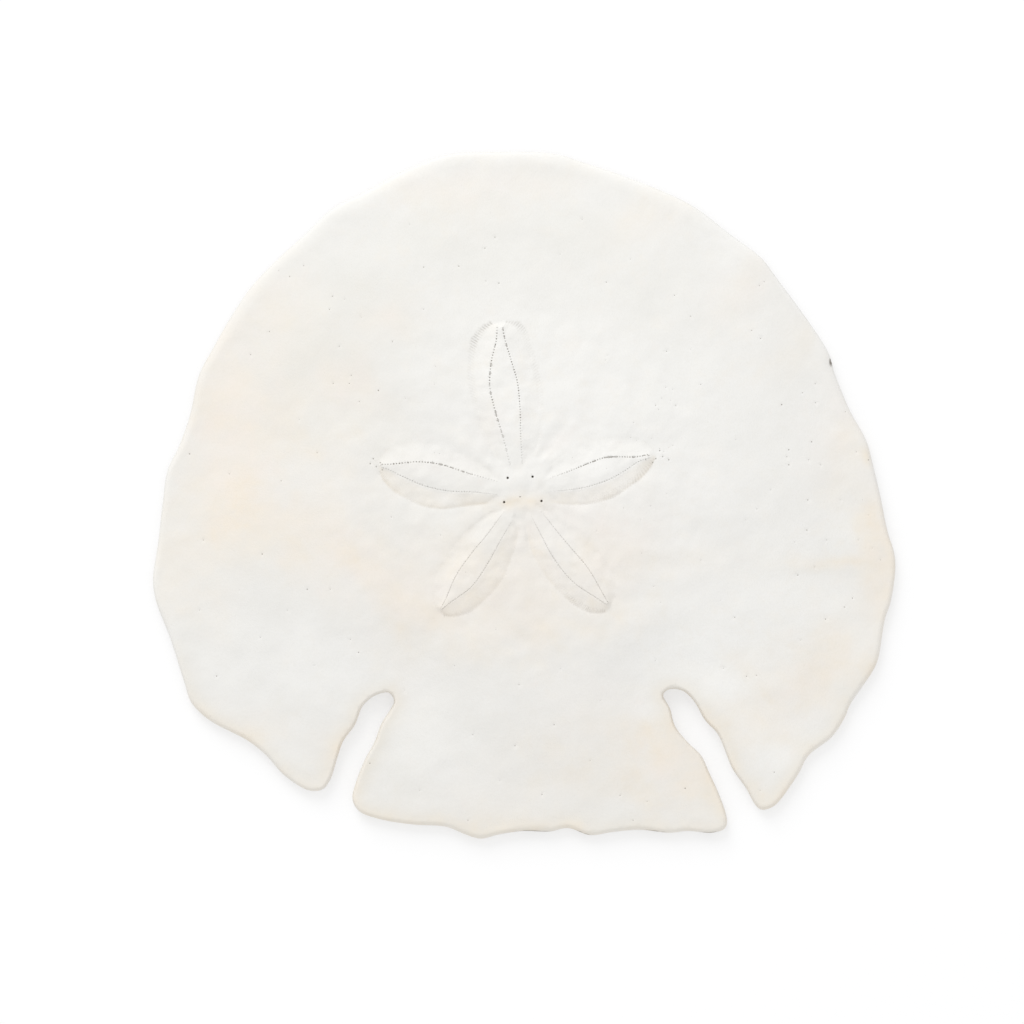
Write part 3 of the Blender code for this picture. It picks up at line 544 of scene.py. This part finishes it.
def pore_rows(cloud, curves, name):
    """Inner pores, the slits beside them and the comb at the outer edge, each with painted shade inside as
    its dark value.
    """
    for side in (0, 1):
        inner, outer = curves[name][2 * side], curves[name][2 * side + 1]
        radius, joined, comb, comb_from, slant, comb_out = ROW_LOOK[(name, side)]
        count = int(curve_length(outer) / PORE_STEP)
        share = (np.arange(count) + 0.5) / count
        slits = int(curve_length(outer) / (COARSE_SLIT_STEP if comb > 1 else SLIT_STEP))
        spots = along_curve(inner, share)
        between = along_curve(inner, share + 0.5 / count)
        for (x, y), (next_x, next_y), u in zip(spots, between, share):
            r = radius * (0.6 + 0.4 * smooth_step(u / 0.45)) * (0.72 + 0.56 * noise.random())
            deep = 0.14 * (0.5 + 0.5 * smooth_step(u / 0.4))
            dark = (0.22 + 0.48 * smooth_step((u - 0.05) / 0.3)) * (0.85 if joined < 0.5 else 0.36)
            dark *= 0.75 + 0.4 * noise.random()
            cloud.pit(x, y, ((r, 0.0, 0.0), (r * 0.72, 0.5 * deep, dark)), (deep, dark), 7, r + 0.04)
            midway = smooth_step((u - 0.1) / 0.2) * (1 - smooth_step((u - 0.7) / 0.15))
            dashed = 0.16 + 1.1 * joined * midway
            if joined < 0.5 and noise.random() < dashed:
                r *= 0.8
                cloud.pit(next_x, next_y, ((r * 0.72, 0.4 * deep, dark),), (0.8 * deep, dark), 6, r)
        if joined:
            line = even(inner, False, 0.16)
            part = np.linspace(0, 1, len(line))
            towards_tip = smooth_step((part - 0.8) / 0.2) * (joined < 1)
            fade = joined * smooth_step(part / 0.12) * (1 - 0.6 * towards_tip)
            cloud.fill(line, 0.05, 0.05 * fade, 0.4 * fade)
            for gap in (-0.09, 0.09):
                cloud.fill(beside(line, gap), 0.05)
        grid_share = np.linspace(0, 1, 4 * slits + 1)
        wave = 0.5 - 0.5 * np.cos(math.tau * grid_share * slits)
        fan = 0.22 * smooth_step((grid_share - 0.3) / 0.2)
        fan += 0.78 * smooth_step((grid_share - comb_from) / 0.2)
        uneven = rough(along_curve(outer, grid_share), 1.6, 4.4, 1)
        fan *= 0.45 + 0.55 * smooth_step(0.5 + 1.1 * uneven)
        left = along_curve(inner, grid_share)
        lean = slant * smooth_step((1 - grid_share) / 0.3)
        right = along_curve(outer, np.clip(grid_share + lean, 0, 1))
        past_edge = (1.05, 1.1) if comb > 1 else ()
        for f in (0.14, 0.3, 0.48, 0.62, 0.74, 0.84, 0.92, 0.985, *past_edge):
            pts = left + (right - left) * f
            comb_here = comb * fan * smooth_step((f - comb_out) / 0.25) * (0.8 if f > 1 else 1)
            deep = 0.006 + 0.004 * f + 0.035 * comb_here
            cloud.fill(pts, 0.045, wave * deep, wave * comb_here * 0.42, wave * (0.3 + 0.7 * f))


def upper_pits(cloud, curves):
    """Every pore, slit, speck and chip of the upper side; the dark in the pores and slits is painted shade
    inside them.
    """
    for x, y in CROWN_PORES:
        rings = ((0.24, 0.01, 0.0), (0.18, 0.1, 0.6), (0.13, 0.36, 0.95), (0.07, 0.5, 1.0))
        cloud.pit(x, y, rings, (0.6, 1.0), 12, 0.3)
    cloud.pit(*SMALL_PORE, ((0.13, 0.0, 0.0), (0.09, 0.1, 0.5)), (0.16, 0.65), 9, 0.18)
    for name in PETALS:
        pore_rows(cloud, curves, name)
    for k, (px, py) in enumerate(SPECKS):
        x, y = seen(px, py)
        r = 0.1 + 0.05 * ((k * 7) % 5) / 4
        dark = 0.25 + 0.35 * ((k * 11) % 7) / 6
        cloud.pit(x, y, ((r, 0.0, 0.0), (r * 0.6, 0.03, dark)), (0.05, dark), 7, r + 0.1)
    for px, py in TIP_PORES:
        cloud.pit(*seen(px, py), ((0.13, 0.0, 0.0), (0.09, 0.05, 0.5)), (0.08, 0.5), 7, 0.16)
    for k, (px, py) in enumerate(FAINT_SPECKS):
        dark = 0.14 + 0.16 * ((k * 5) % 7) / 6
        cloud.pit(*seen(px, py), ((0.1, 0.0, 0.0), (0.06, 0.02, dark)), (0.03, dark), 6, 0.2)
    x, y = seen(*RIM_CHIP)
    for ring, sink, dark in ((0.35, 0.3, 0.8), (0.9, 0.0, 0.0)):
        for k in range(CHIP_SIDES):
            a = math.tau * k / CHIP_SIDES
            spot = (x + CHIP_HALF[0] * ring * math.cos(a), y + CHIP_HALF[1] * ring * math.sin(a))
            cloud.rows.append((*spot, sink, dark, 0.0))
    cloud.rows.append((x, y, 0.4, 0.9, 0.0))
    cloud.mark(x, y, 0.9)


def upper_cloud(loop, curves):
    """Points of the upper side, closest together on the petals and along the margin."""
    cloud = Cloud()
    for x, y in loop:
        cloud.put(x, y, 0.2)
    upper_pits(cloud, curves)
    rim_rings(cloud, loop, (0.04, 0.12, 0.25, 0.42, 0.65, 0.95, 1.3, 1.7, 2.1, 2.6, 3.3, 4.1),
              lambda d: min(0.1 + 0.25 * d, 0.42))
    for name in PETALS:
        edge = even(curves[name][5], False, 0.3)
        for gap in (0.0, 0.22, -0.22):
            cloud.fill(beside(edge, gap), 0.14)
    fine = lattice(0.36)
    near = np.hypot(fine[:, 0] - CROWN[0], fine[:, 1] - CROWN[1])
    in_petal = near < 8.5
    for name in PETALS:
        in_petal |= (near < PETAL_REACH) & inside(fine, np.vstack([curves[name][5], [CROWN]]))
    cloud.fill(fine[in_petal], 0.25)
    middle = lattice(0.62)
    near = np.hypot(middle[:, 0] - CROWN[0], middle[:, 1] - CROWN[1])
    cloud.fill(middle[near < 33], 0.46)
    coarse = lattice(0.86)
    coarse = coarse[inside(coarse, loop)]
    cloud.fill(coarse[distance_to(coarse, loop, True) > 0.8], 0.66)
    return cloud


def lower_cloud(loop, grooves, twigs):
    """Points of the underside, closest together round its two openings and along the grooves."""
    cloud = Cloud()
    for x, y in loop:
        cloud.put(x, y, 0.2)
    for radius in (2.3, 2.15, 1.9, 1.6, 1.25, 0.9, 0.45):
        cloud.circle(MOUTH, radius, 40 if radius > 1.5 else 20, 0.1)
    for radius in (1.0, 0.9, 0.75, 0.5, 0.2):
        cloud.circle(HIND_OPENING, radius, 20, 0.08)
    rim_rings(cloud, loop, (0.06, 0.18, 0.36, 0.6, 0.9, 1.2, 1.6, 2.4),
              lambda d: min(0.15 + 0.3 * d, 0.6))
    for groove in grooves:
        path = even(groove, False, 0.7)
        for gap in (0.0, -0.3, 0.3, -0.6, 0.6, -0.9, 0.9):
            cloud.fill(beside(path, gap), 0.22)
    for twig in twigs:
        path = even(twig, False, 0.5)
        for gap in (0.0, -0.2, 0.2, -0.45, 0.45):
            cloud.fill(beside(path, gap), 0.16)
    fine = lattice(1.0)
    fine = fine[inside(fine, loop)]
    cloud.fill(fine[distance_to(fine, loop, True) > 1.0], 0.7)
    return cloud


def from_margin(points, loop):
    """Distance in from the margin, exactly 0 for the margin's own points."""
    gap = distance_to(points, loop, True)
    return np.where(gap < 1e-3, 0.0, gap)


def petal_forms(points, curves):
    """Rise of the petals, 0 to 1 and a little more, and the painted shade of the flanks that face away from
    the lamp, laid on as a tan tint.
    """
    mound = np.zeros(len(points))
    lips = np.zeros(len(points))
    flank = np.zeros(len(points))
    from_crown = np.hypot(points[:, 0] - CROWN[0], points[:, 1] - CROWN[1])
    for name, (inner_a, outer_a, inner_b, outer_b, field, edge) in curves.items():
        wedge = np.vstack([edge, [CROWN]])
        to_edge = distance_to(points, edge[::2], False)
        to_field = distance_to(points, field[::2], True)
        to_a, to_b = (distance_to(points, row[::3], False) for row in (outer_a, outer_b))
        on_a = smooth_step(0.5 + 0.5 * (to_b - to_a) / 1.2)
        facing = math.sin(math.radians(PETALS[name][0])) * (1 - 2 * on_a)
        ramp = np.where(inside(points, wedge), to_edge / (to_edge + to_field + 1e-6), 0.0)
        ramp = ramp ** (1.0 + 0.7 * smooth_step(0.5 - facing))
        in_field = inside(points, field)
        rise = np.where(in_field, 1.0 + 0.12 * smooth_step(to_field / 1.2), ramp)
        mound = np.maximum(mound, rise)
        clear = smooth_step((from_crown - 4.5) / 3.0)
        lips += clear * (0.015 + 0.06 * smooth_step(facing)) * np.exp(-(to_edge / 0.28) ** 2)
        zone = smooth_step((1.0 - rise) / 0.25) * smooth_step(ramp / 0.05) * clear
        rim = np.exp(-(to_edge / 0.5) ** 2) * inside(points, wedge)
        # Painted shade: flanks facing away from the lamp get a tint, strongest along their outer edge.
        flank = np.maximum(flank, zone * (0.03 + 0.17 * facing) + 0.14 * rim * facing * clear)
    return mound, lips, np.maximum(flank, 0.0)


def upper_height(points, loop, curves):
    """Height of the upper side, in millimetres, before the small sinks."""
    x, y = points[:, 0], points[:, 1]
    away = (x - CROWN[0]) ** 2 / DOME_X**2 + (y - CROWN[1]) ** 2 / DOME_Y**2
    dome = APEX_RISE * np.clip(1 - away, 0.0, 1.0) ** DOME_POWER
    relief = sum(rise * blob(points, cx, cy, reach) for cx, cy, reach, rise in SWELLS)
    relief += sum(rise * blob(points, cx, cy, reach) for cx, cy, reach, rise in KNOBS)
    from_crown = np.hypot(x - CROWN[0], y - CROWN[1])
    near = from_crown < PETAL_REACH
    mound, lips, flank = (np.zeros(len(points)) for _ in range(3))
    mound[near], lips[near], flank[near] = petal_forms(points[near], curves)
    boss = smooth_step((BOSS_OUT - from_crown) / (BOSS_OUT - BOSS_IN))
    mound = np.maximum(PETAL_RISE * mound, (PETAL_RISE + BOSS_RISE) * boss) - lips
    rim = from_margin(points, loop)
    middle = smooth_step((42.0 - from_crown) / 30.0)
    lumps = (0.12 + 0.12 * middle) * rough(points, 5.5, 3.3) + 0.16 * rough(points, 16.0, 8.1, 2)
    lumps += (0.03 + 0.06 * middle) * rough(points, 2.4, 5.7, 2)
    turn = np.arctan2(y - CROWN[1], x - CROWN[0])
    ring = np.column_stack([4.0 * np.cos(turn), 4.0 * np.sin(turn)])
    folds = rough(ring, 0.9, 6.6, 2)
    lumps += 0.24 * folds * np.exp(-((from_crown - 9.0) / 5.0) ** 2) * (1 - smooth_step(mound / 0.3))
    fade = smooth_step(rim / 6.0)
    thin = THIN_SHARE + (1 - THIN_SHARE) * smooth_step(rim / THIN_REACH)
    full = EDGE_HEIGHT + dome * thin + mound + relief * fade + lumps * smooth_step(rim / 2.0)
    wide = REAR_ROUND + (FRONT_ROUND - REAR_ROUND) * smooth_step((y + 5.0) / 50.0)
    notched = np.clip(1.3 * sum(blob(points, nx, ny, NOTCH_REACH) for nx, ny in NOTCHES), 0, 1)
    turn = np.clip(rim / (wide + (NOTCH_ROUND - wide) * notched), 0.0, 1.0)
    rounding = np.sqrt(1 - (1 - turn) ** 2)
    return WIDEST_HEIGHT + (full - WIDEST_HEIGHT) * rounding, rim, flank


def lower_height(points, loop, grooves, twigs):
    """Height of the underside, in millimetres, and how deep in a groove each point is."""
    rim = from_margin(points, loop)
    turn = np.clip(rim / BOTTOM_ROUND, 0.0, 1.0)
    height = WIDEST_HEIGHT * (1 - np.sqrt(1 - (1 - turn) ** 2))
    from_mouth = np.hypot(points[:, 0] - MOUTH[0], points[:, 1] - MOUTH[1])
    height = height + HOLLOW_DEPTH * np.clip(1 - (from_mouth / HOLLOW_REACH) ** 2, 0, 1) ** 2
    cut = np.zeros(len(points))
    near_mouth = smooth_step((rim - 4.0) / 9.0) * smooth_step((52.0 - from_mouth) / 14.0)
    half = FOOD_HALF * 1.35 * (0.45 + 0.55 * near_mouth)
    for groove in grooves:
        gap = distance_to(points, groove[::2], False)
        cut = np.maximum(cut, FOOD_DEPTH * near_mouth * smooth_step(1 - gap / half))
    for twig in twigs:
        gap = distance_to(points, twig, False)
        taper = 1 - 0.7 * np.clip(np.hypot(*(points - twig[0]).T) / curve_length(twig), 0, 1)
        cut = np.maximum(cut, 0.3 * FOOD_DEPTH * taper * smooth_step(1 - gap / (0.5 * FOOD_HALF)))
    height = height + cut
    turn = np.arctan2(points[:, 1] - MOUTH[1], points[:, 0] - MOUTH[0])
    lobed = MOUTH_RADIUS * (1 - 0.06 * (0.5 - 0.5 * np.cos(5 * turn + 0.4)))
    mouth_wall = np.clip((lobed - from_mouth) / (MOUTH_RADIUS * 0.6), 0, 1)
    height += MOUTH_DEPTH * np.sin(mouth_wall * math.pi / 2)
    from_hind = np.hypot(points[:, 0] - HIND_OPENING[0], points[:, 1] - HIND_OPENING[1])
    hind_wall = np.clip((HIND_RADIUS - from_hind) / (HIND_RADIUS * 0.55), 0, 1)
    height += HIND_DEPTH * np.sin(hind_wall * math.pi / 2)
    beads = np.abs(rough(points, 1.5, 1.7, 2))
    height += (0.05 * (1 + rough(points, 4.0, 1.7)) + 0.05 * beads) * smooth_step((rim - 1.2) / 2.0)
    return np.maximum(height, 0.0), rim, cut / FOOD_DEPTH


def patches(points, spots, seed):
    """Soft blotches: listed ovals whose edges wander, small ones less."""
    shift = np.column_stack([rough(points, 6.0, seed, 4), rough(points, 6.0, seed + 20.0, 4)])
    left = np.ones(len(points))
    for px, py, half_x, half_y, turn, strength in spots:
        wander = min(4.5, 0.7 * PX * min(half_x, half_y))
        x, y = (points + wander * shift - seen(px, py)).T
        a = math.radians(turn)
        u = (x * math.cos(a) - y * math.sin(a)) / (half_x * PX)
        v = (x * math.sin(a) + y * math.cos(a)) / (half_y * PX)
        left *= 1 - strength * np.exp(-(u * u + v * v))
    return 1 - left


def painted_edge_shadow(points, rim):
    """Painted shadow: a thin dark line at the foot of the rear margin in a few places, standing for the
    shade under the overhanging edge.
    """
    found = np.zeros(len(points))
    for low, high in DARK_EDGES:
        middle, half = (low + high) / 2, (high - low) / 2
        along = (points[:, 0] - seen(middle, 0)[0]) / (half * PX)
        found += (points[:, 1] < REAR_EDGE) * np.exp(-along**4) * np.exp(-(rim / EDGE_SHADOW_WIDTH) ** 2)
    return EDGE_SHADOW_STRENGTH * found * smooth_step(0.7 + rough(points, 1.3, 9.2, 2))


def halos(points):
    """The lime is clean right round the crown's pores."""
    return sum(0.9 * blob(points, x, y, 0.5) for x, y in CROWN_PORES)


def surface(cloud, loop):
    """Triangles over the cloud's points inside the margin."""
    rows = np.array(cloud.rows)
    pts = [Vector((float(x), float(y))) for x, y in rows[:, :2]]
    n = len(loop)
    lines = [(i, (i + 1) % n) for i in range(n)]
    found = delaunay_2d_cdt(pts, lines, [], 0, 1e-5, True)
    places = np.array([tuple(v) for v in found[0]])
    first = np.array([ids[0] if ids else -1 for ids in found[3]])
    faces = np.array([tuple(f) for f in found[2]])
    faces = faces[inside(places[faces].mean(axis=1), loop)]
    marks = rows[np.maximum(first, 0), 2:] * (first >= 0)[:, None]
    return places, faces, marks, first


def surface_marks(plan, upper, rim, flank, low_cut, top_marks):
    """Stain, tint, wear and dirt at each point, with painted shade and painted light among them, as values
    that the material reads.
    """
    count = len(flank)
    rear = smooth_step((-plan[:, 1] - 22.0) / 12.0)
    edge_tint = rear * (0.34 * np.exp(-(rim / 1.9) ** 2) + 0.08 * np.exp(-(rim / 0.6) ** 2))
    # Painted shade: a greyer band just in from the rear margin, where the rounding turns away from the
    # lamp.
    rear_shade_band = rear * (np.exp(-(rim / 2.4) ** 2) - np.exp(-(rim / 0.45) ** 2))
    # Painted light with some wear: the outermost half millimetre of the margin is paler, lifting the shade
    # of the edge.
    lit_and_worn = 1.1 * np.exp(-(rim / 0.5) ** 2)
    # Flanks facing away from the lamp carry painted shade, as paler lime here and as tan in the stain
    # below.
    lit_and_worn[:count] += 3.0 * flank
    lit_and_worn += sum(strength * blob(plan, x, y, reach) for x, y, reach, strength in WASHED_AND_LIT)
    # Painted shade: the front half, away from the margin, is greyed to tone down the lamp's stronger light
    # there.
    front = smooth_step((plan[:, 1] - 10.0) / 26.0) * smooth_step((rim - 3.5) / 8.0)
    stain_and_shade = patches(plan, STAINS, 2.0) + edge_tint
    stain_and_shade[:count] += flank
    dull = patches(plan, DULL, 12.0) + 0.3 * front + 0.95 * rear_shade_band
    pale = patches(plan, PALE, 17.0) + halos(plan)
    # dark: painted shade in the pores and slits, dark specks, darker food grooves below and the painted
    # shadow line at the rear margin.
    dark = np.concatenate([top_marks[:, 1], 0.12 * low_cut]) + painted_edge_shadow(plan, rim) * upper
    from_mouth = np.hypot(plan[:, 0] - MOUTH[0], plan[:, 1] - MOUTH[1])
    low_stain = 0.22 + edge_tint + 0.4 * np.exp(-(from_mouth / 14.0) ** 2)
    low_stain += 0.9 * smooth_step(rough(plan, 13.0, 21.0, 3))
    low_stain[count:] += 0.5 * low_cut
    low_rosy = 0.1 + 0.7 * smooth_step(rough(plan, 9.0, 27.0, 3))
    low_dull = 0.15 + 0.7 * smooth_step(rough(plan, 11.0, 33.0, 3))
    return {
        "stain_and_shade": np.where(upper, stain_and_shade, low_stain),
        "rosy": np.where(upper, patches(plan, ROSY, 7.0), low_rosy),
        "dull": np.where(upper, dull, low_dull),
        "pale": np.where(upper, pale, 0.0) + lit_and_worn,
        "dark": dark,
        "slit": np.concatenate([top_marks[:, 2], np.zeros(len(low_cut))]),
        "under": np.where(upper, 0.0, 1.0),
    }


def build_shell():
    """The whole test as one mesh: upper side and underside, joined along the margin."""
    outline = smooth_curve(MARGIN, True, 0.3)
    outline -= (outline.min(axis=0) + outline.max(axis=0)) / 2
    loop = even(outline, True, 0.55)
    curves = {name: petal_curves(name) for name in PETALS}
    noise.seed_set(11)
    grooves, twigs = food_grooves(outline), food_twigs(outline)

    top_cloud = upper_cloud(loop, curves)
    top, top_faces, top_marks, top_first = surface(top_cloud, loop)
    top_z, top_rim, flank = upper_height(top, loop, curves)
    top_z -= top_marks[:, 0] * smooth_step(top_rim / 0.5)

    low_cloud = lower_cloud(loop, grooves, twigs)
    low, low_faces, _, low_first = surface(low_cloud, loop)
    low_z, low_rim, low_cut = lower_height(low, loop, grooves, twigs)

    # The two sides share the margin's points, which come first in both clouds.
    share = {int(f): i for i, f in enumerate(top_first) if 0 <= f < len(loop)}
    number = np.empty(len(low), int)
    spare = []
    for i, f in enumerate(low_first):
        if 0 <= f < len(loop):
            number[i] = share[int(f)]
        else:
            number[i] = len(top) + len(spare)
            spare.append(i)
    places = np.vstack([np.column_stack([top, top_z]), np.column_stack([low, low_z])[spare]]) * MM
    faces = np.vstack([top_faces, number[low_faces][:, ::-1]])

    mesh = bpy.data.meshes.new("dried_test")
    mesh.from_pydata(places.tolist(), [], faces.tolist())
    mesh.validate()
    if sum(p.normal.z * p.area for p in mesh.polygons[: len(top_faces)]) < 0:
        mesh.flip_normals()
    plan = places[:, :2] / MM
    upper = np.arange(len(places)) < len(top)
    rim = np.concatenate([top_rim, low_rim[spare]])
    values = surface_marks(plan, upper, rim, flank, low_cut[spare], top_marks)
    for name, value in values.items():
        layer = mesh.attributes.new(name, "FLOAT", "POINT")
        layer.data.foreach_set("value", np.asarray(value, np.float32))
    mesh.shade_smooth()
    shell = bpy.data.objects.new("dried_test", mesh)
    bpy.context.scene.collection.objects.link(shell)
    print("triangles", len(mesh.polygons), "top points", len(top), "low points", len(low))
    return shell


class Nodes:
    """Short calls for building a node tree."""

    def __init__(self, tree):
        self.tree = tree

    def new(self, kind, links=None, **values):
        node = self.tree.nodes.new(kind)
        for key, value in values.items():
            setattr(node, key, value)
        for socket, source in (links or {}).items():
            self.set(node, socket, source)
        return node

    def set(self, node, socket, source):
        if isinstance(source, bpy.types.NodeSocket):
            self.tree.links.new(source, node.inputs[socket])
        else:
            node.inputs[socket].default_value = source

    def mark(self, name):
        return self.new("ShaderNodeAttribute", attribute_name=name).outputs["Fac"]

    def math(self, operation, a, b, clamp=False):
        node = self.new("ShaderNodeMath", operation=operation, use_clamp=clamp)
        self.set(node, 0, a)
        self.set(node, 1, b)
        return node.outputs[0]

    def mix(self, factor, a, b):
        node = self.new("ShaderNodeMix", data_type="RGBA")
        self.set(node, 0, factor)
        self.set(node, 6, a)
        self.set(node, 7, b)
        return node.outputs[2]

    def span(self, value, low, high, to_low=0.0, to_high=1.0):
        node = self.new("ShaderNodeMapRange", {"Value": value, "From Min": low, "From Max": high,
                                               "To Min": to_low, "To Max": to_high})
        return node.outputs[0]

    def noise(self, place, scale, detail):
        node = self.new("ShaderNodeTexNoise", {"Vector": place, "Scale": scale, "Detail": detail,
                                               "Roughness": 0.6})
        return node.outputs["Fac"]

    def cells(self, place, scale):
        node = self.new("ShaderNodeTexVoronoi", {"Vector": place, "Scale": scale})
        return node.outputs["Distance"]


def lime_material():
    """Bleached, chalky lime: ivory with soft tan stains and fine grains, painted shade in the pores and on
    some slopes, and painted light in places.
    """
    mat = bpy.data.materials.new("bleached_lime")
    mat.use_nodes = True
    tree = mat.node_tree
    n = Nodes(tree)
    shader = tree.nodes["Principled BSDF"]
    place = n.new("ShaderNodeTexCoord").outputs["Object"]

    broad = n.noise(place, 60.0, 4.0)
    cloudy = n.noise(place, 160.0, 4.0)
    patchy = n.noise(place, 330.0, 3.0)
    grain = n.noise(place, 1500.0, 2.0)
    beads = n.cells(place, 1500.0)
    under = n.mark("under")

    body = n.mix(n.span(broad, 0.35, 0.65), GREYER_LIME, LIGHTER_LIME)
    body = n.mix(n.span(cloudy, 0.35, 0.65, 0.0, 0.22), body, CLOUDY_LIME)
    # pale: bare lime, with painted light at the margin's edge, on the flanks facing away from the lamp,
    # above the notches and along the side petals' upper edges.
    body = n.mix(n.math("MULTIPLY", n.mark("pale"), 0.65, True), body, BARE_AND_LIT_LIME)
    # dull: greyer patches, and painted shade on the front half and along the rear margin.
    body = n.mix(n.math("MULTIPLY", n.mark("dull"), 0.5, True), body, DULL_LIME)
    # stain: tan stains, and painted shade on the flanks facing away from the lamp and just below the crown.
    stain_and_shade = n.math("MULTIPLY", n.mark("stain_and_shade"), n.span(cloudy, 0.3, 0.7, 0.45, 1.55))
    flecks = n.math("MULTIPLY", n.span(patchy, 0.5, 0.7), n.span(broad, 0.4, 0.6, 0.02, 0.14))
    stain_and_shade = n.math("ADD", stain_and_shade, flecks)
    body = n.mix(n.math("MULTIPLY", stain_and_shade, 1.0, True), body, TAN)
    rosy = n.math("MULTIPLY", n.mark("rosy"), n.span(patchy, 0.35, 0.65, 1.4, 0.5))
    rosy = n.math("ADD", rosy, n.span(patchy, 0.36, 0.24, 0.0, 0.3))
    body = n.mix(n.math("MULTIPLY", rosy, 0.6, True), body, ROSE)
    body = n.mix(n.math("MULTIPLY", n.mark("slit"), 0.045), body, SLIT_BROWN)
    body = n.mix(n.span(grain, 0.42, 0.6, 0.0, 0.05), body, GRAIN_GREY)
    # Near-black where the dark marks lie: painted shade in pores and slits, dark specks, darker grooves and
    # the painted shadow line.
    body = n.mix(n.mark("dark"), body, SHADE_AND_DIRT)
    # Painted shade in the gaps between the underside's beads.
    gaps = n.math("MULTIPLY", n.span(beads, 0.4, 0.8, 0.0, 0.3), under)
    body = n.mix(gaps, body, BEAD_GAP_SHADE)
    n.set(shader, "Base Color", body)

    n.set(shader, "Roughness", n.span(cloudy, 0.3, 0.7, 0.62, 0.78))
    shader.inputs["Specular IOR Level"].default_value = 0.25

    grains = n.span(n.cells(place, 3200.0), 0.1, 0.7, 1.0, 0.0)
    grains = n.math("MULTIPLY", grains, n.span(under, 0.0, 1.0, 0.35, 1.0))
    height = n.math("ADD", grains, n.math("MULTIPLY", n.noise(place, 700.0, 4.0), 1.6))
    low_beads = n.math("MULTIPLY", n.math("MULTIPLY", beads, under), 4.0)
    height = n.math("SUBTRACT", height, low_beads)
    bump = n.new("ShaderNodeBump", {"Strength": 0.5, "Distance": 0.00006, "Height": height})
    n.set(shader, "Normal", bump.outputs[0])
    return mat


def soft_light(name, place, size, power):
    """A soft box aimed at the object."""
    data = bpy.data.lights.new(name, "AREA")
    data.shape = "RECTANGLE"
    data.size, data.size_y = size
    data.energy = power
    lamp = bpy.data.objects.new(name, data)
    lamp.location = place
    lamp.rotation_euler = (-Vector(place)).to_track_quat("-Z", "Y").to_euler()
    bpy.context.scene.collection.objects.link(lamp)


def make_floor():
    """A white light table, so that shadows and gaps stay as pale as in the picture."""
    mesh = bpy.data.meshes.new("floor")
    half, level = 3.0, -0.0001
    corners = [(-half, -half, level), (half, -half, level), (half, half, level), (-half, half, level)]
    mesh.from_pydata(corners, [], [(0, 1, 2, 3)])
    floor = bpy.data.objects.new("floor", mesh)
    bpy.context.scene.collection.objects.link(floor)
    mat = bpy.data.materials.new("white_paper")
    mat.use_nodes = True
    shader = mat.node_tree.nodes["Principled BSDF"]
    shader.inputs["Base Color"].default_value = (0.42, 0.42, 0.422, 1)
    shader.inputs["Roughness"].default_value = 0.9
    shader.inputs["Specular IOR Level"].default_value = 0.1
    shader.inputs["Emission Color"].default_value = (1, 1, 1, 1)
    shader.inputs["Emission Strength"].default_value = 0.505
    mesh.materials.append(mat)


def make_world():
    world = bpy.data.worlds.new("studio")
    world.use_nodes = True
    back = world.node_tree.nodes["Background"]
    back.inputs["Color"].default_value = (1.0, 1.0, 1.0, 1)
    back.inputs["Strength"].default_value = 0.98
    bpy.context.scene.world = world


def make_camera():
    """Straight above, with the picture's frame."""
    data = bpy.data.cameras.new("camera")
    reach = 1.2
    data.sensor_width = 36.0
    data.lens = data.sensor_width * reach / (PICTURE * PX * MM)
    data.clip_start = 0.01
    data.clip_end = 20.0
    camera = bpy.data.objects.new("camera", data)
    x, y = seen(PICTURE / 2, PICTURE / 2)
    camera.location = (x * MM, y * MM, reach + WIDEST_HEIGHT * MM)
    bpy.context.scene.collection.objects.link(camera)
    bpy.context.scene.camera = camera


shell = build_shell()
shell.data.materials.append(lime_material())
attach(shell, "root")
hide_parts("shell")

make_floor()
make_world()
soft_light("key", (-0.46, 1.14, 0.86), (0.8, 1.0), 9.9)
make_camera()
settings = bpy.context.scene.view_settings
settings.view_transform = "Standard"
settings.look = "None"
settings.exposure = 0.0
settings.gamma = 1.0
